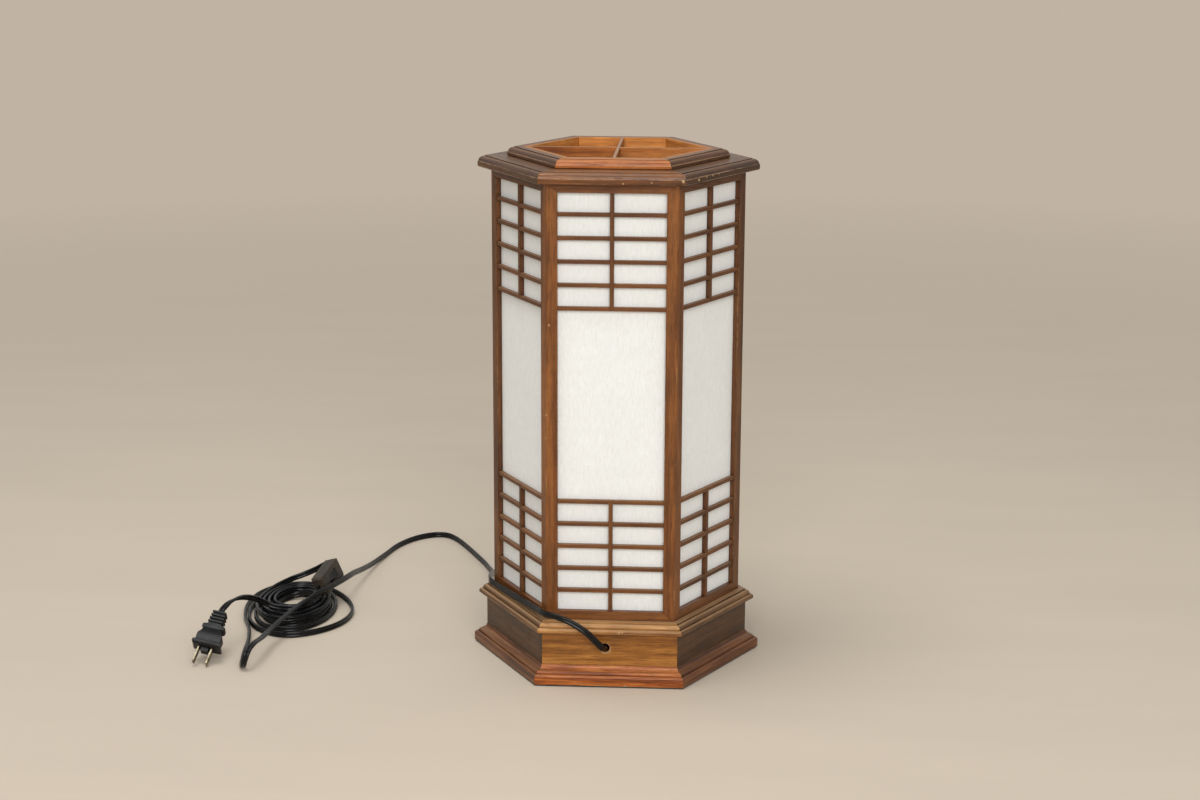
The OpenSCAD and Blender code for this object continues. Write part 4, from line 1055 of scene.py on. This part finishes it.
@dataclass
class Hardware:
    """The felt, the lamp holder and the bulb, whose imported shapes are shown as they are."""

    frame: dict

    def build(self) -> None:
        """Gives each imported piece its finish."""
        brass = BRASS_FINISH.material()
        plan = {"felt_strips": FELT_FINISH.material(), "holder_insert": INSULATOR_FINISH.material(),
                "bulb_base": BASE_FINISH.material(), "bulb_glass": GLASS_FINISH.material()}
        plan.update({node: brass for node in ("base_screws", "nipple", "nipple_nuts", "holder_cap", "holder_shell",
                                              "screw_shell", "centre_contact")})
        for node, material in plan.items():
            mesh = self.frame["nodes"][node].data
            mesh.materials.clear()
            mesh.materials.append(material)
            log.info("%s: shown as packed", node)


# Studio


@dataclass(frozen=True)
class SoftLight:
    """A soft rectangular light, in metres and watts."""

    name: str
    size: tuple[float, float]
    place: Point
    target: Point
    watts: float

    def build(self) -> None:
        """Puts the light up."""
        data = bpy.data.lights.new(self.name, "AREA")
        data.shape = "RECTANGLE"
        data.size, data.size_y = self.size
        data.energy = self.watts
        light = bpy.data.objects.new(self.name, data)
        aim = Vector(self.target) - Vector(self.place)
        light.matrix_world = Matrix.Translation(self.place) @ aim.to_track_quat("-Z", "Y").to_matrix().to_4x4()
        bpy.context.scene.collection.objects.link(light)


@dataclass
class Studio:
    """The floor, the lights and the camera, in metres and degrees."""

    lights: tuple[SoftLight, ...] = (
        SoftLight("key_light", (2.0, 1.4), (0.35, -2.7, 1.55), (0, 0, 0.25), 49),
        SoftLight("top_light", (1.2, 1.2), (-0.5, -0.2, 2.5), (-0.1, 0, 0), 24),
    )
    ambient: float = 0.5
    floor_radius: float = 16.0
    floor_sides: int = 96
    floor_fades: tuple[float, float] = (0.7, 3.0)
    floor_paint: Colour = tint(203, 190, 172)
    backdrop: Colour = tint(192, 179, 164)
    daylight: Colour = (1.0, 0.99, 0.975, 1.0)
    eye: Point = (0.10358, -2.01098, 0.73015)
    yaw: float = -3.396
    pitch: float = 13.701
    roll: float = 0.217
    lens: float = 66.94
    sensor: float = 36.0

    def camera(self) -> None:
        """Makes the camera that stands where the photographer's did."""
        yaw, pitch, roll = (math.radians(a) for a in (self.yaw, self.pitch, self.roll))
        ahead = Vector((math.sin(yaw) * math.cos(pitch), math.cos(yaw) * math.cos(pitch), -math.sin(pitch)))
        level = ahead.cross(Vector((0, 0, 1))).normalized()
        above = level.cross(ahead)
        right = level * math.cos(roll) + above * math.sin(roll)
        up = above * math.cos(roll) - level * math.sin(roll)
        data = bpy.data.cameras.new("studio camera")
        data.lens = self.lens
        data.sensor_width = self.sensor
        data.sensor_fit = "HORIZONTAL"
        data.clip_start = 0.05
        camera = bpy.data.objects.new("studio_camera", data)
        camera.matrix_world = Matrix.Translation(self.eye) @ Matrix((right, up, -ahead)).transposed().to_4x4()
        bpy.context.scene.collection.objects.link(camera)
        bpy.context.scene.camera = camera

    def floor(self) -> None:
        """Makes the plain pale floor."""
        bm = bmesh.new()
        bmesh.ops.create_circle(bm, cap_ends=True, segments=self.floor_sides, radius=self.floor_radius)
        mesh = bpy.data.meshes.new("floor")
        bm.to_mesh(mesh)
        bm.free()
        floor = bpy.data.objects.new("studio_floor", mesh)
        bpy.context.scene.collection.objects.link(floor)
        material, s, main = new_material("floor paint")
        place = s.object_place()
        clouds = s.fit(s.noise(s.stretch(place, (2.2, 9, 1)), 1, 5, 0.6), 0.3, 0.7, 0.97, 1.02)
        colour = s.shade(self.floor_paint[:3], clouds)
        s.feed(main, {"Base Color": colour, "Roughness": 0.75, "Specular IOR Level": 0.25})
        away = s.add("VectorMath", {0: place}, operation="LENGTH").outputs["Value"]
        share = s.times(s.fit(away, *self.floor_fades), self.seen(s))
        even = s.add("Emission", {"Color": self.backdrop, "Strength": 1.0})
        mixed = s.add("MixShader", {0: share, 1: main.outputs[0], 2: even.outputs[0]})
        s.tree.links.new(mixed.outputs[0], s.tree.nodes["Material Output"].inputs[0])
        mesh.materials.append(material)

    @staticmethod
    def seen(s: Shader) -> NodeSocket:
        """Returns 1 for the rays that show the background, and 0 for those that light the lamp."""
        rays = s.add("LightPath", {})
        return s.maths("MAXIMUM", rays.outputs["Is Camera Ray"], rays.outputs["Is Transmission Ray"])

    def world(self) -> None:
        """Makes the pale surroundings, which light the lamp evenly."""
        world = bpy.data.worlds.new("studio")
        bpy.context.scene.world = world
        world.use_nodes = True
        s = Shader(world.node_tree)
        seen = self.seen(s)
        s.feed(world.node_tree.nodes["Background"], {"Color": s.blend(seen, self.daylight, self.backdrop),
                                                     "Strength": s.fit(seen, 0, 1, self.ambient, 1.0)})

    def build(self) -> None:
        """Sets up the whole studio apart from the camera."""
        self.floor()
        self.world()
        for light in self.lights:
            light.build()
        bpy.context.scene.view_settings.view_transform = "Standard"


def main() -> None:
    """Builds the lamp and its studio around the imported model."""
    logging.basicConfig(level=logging.INFO, format="%(name)s: %(message)s")
    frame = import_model()
    studio = Studio()
    studio.camera()
    CordSet(frame).build()
    for part in (Woodwork(frame), Papers(frame), Hardware(frame), studio):
        part.build()
        log.info("%s done", type(part).__name__)
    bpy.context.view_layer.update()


if __name__ == "__main__":
    main()
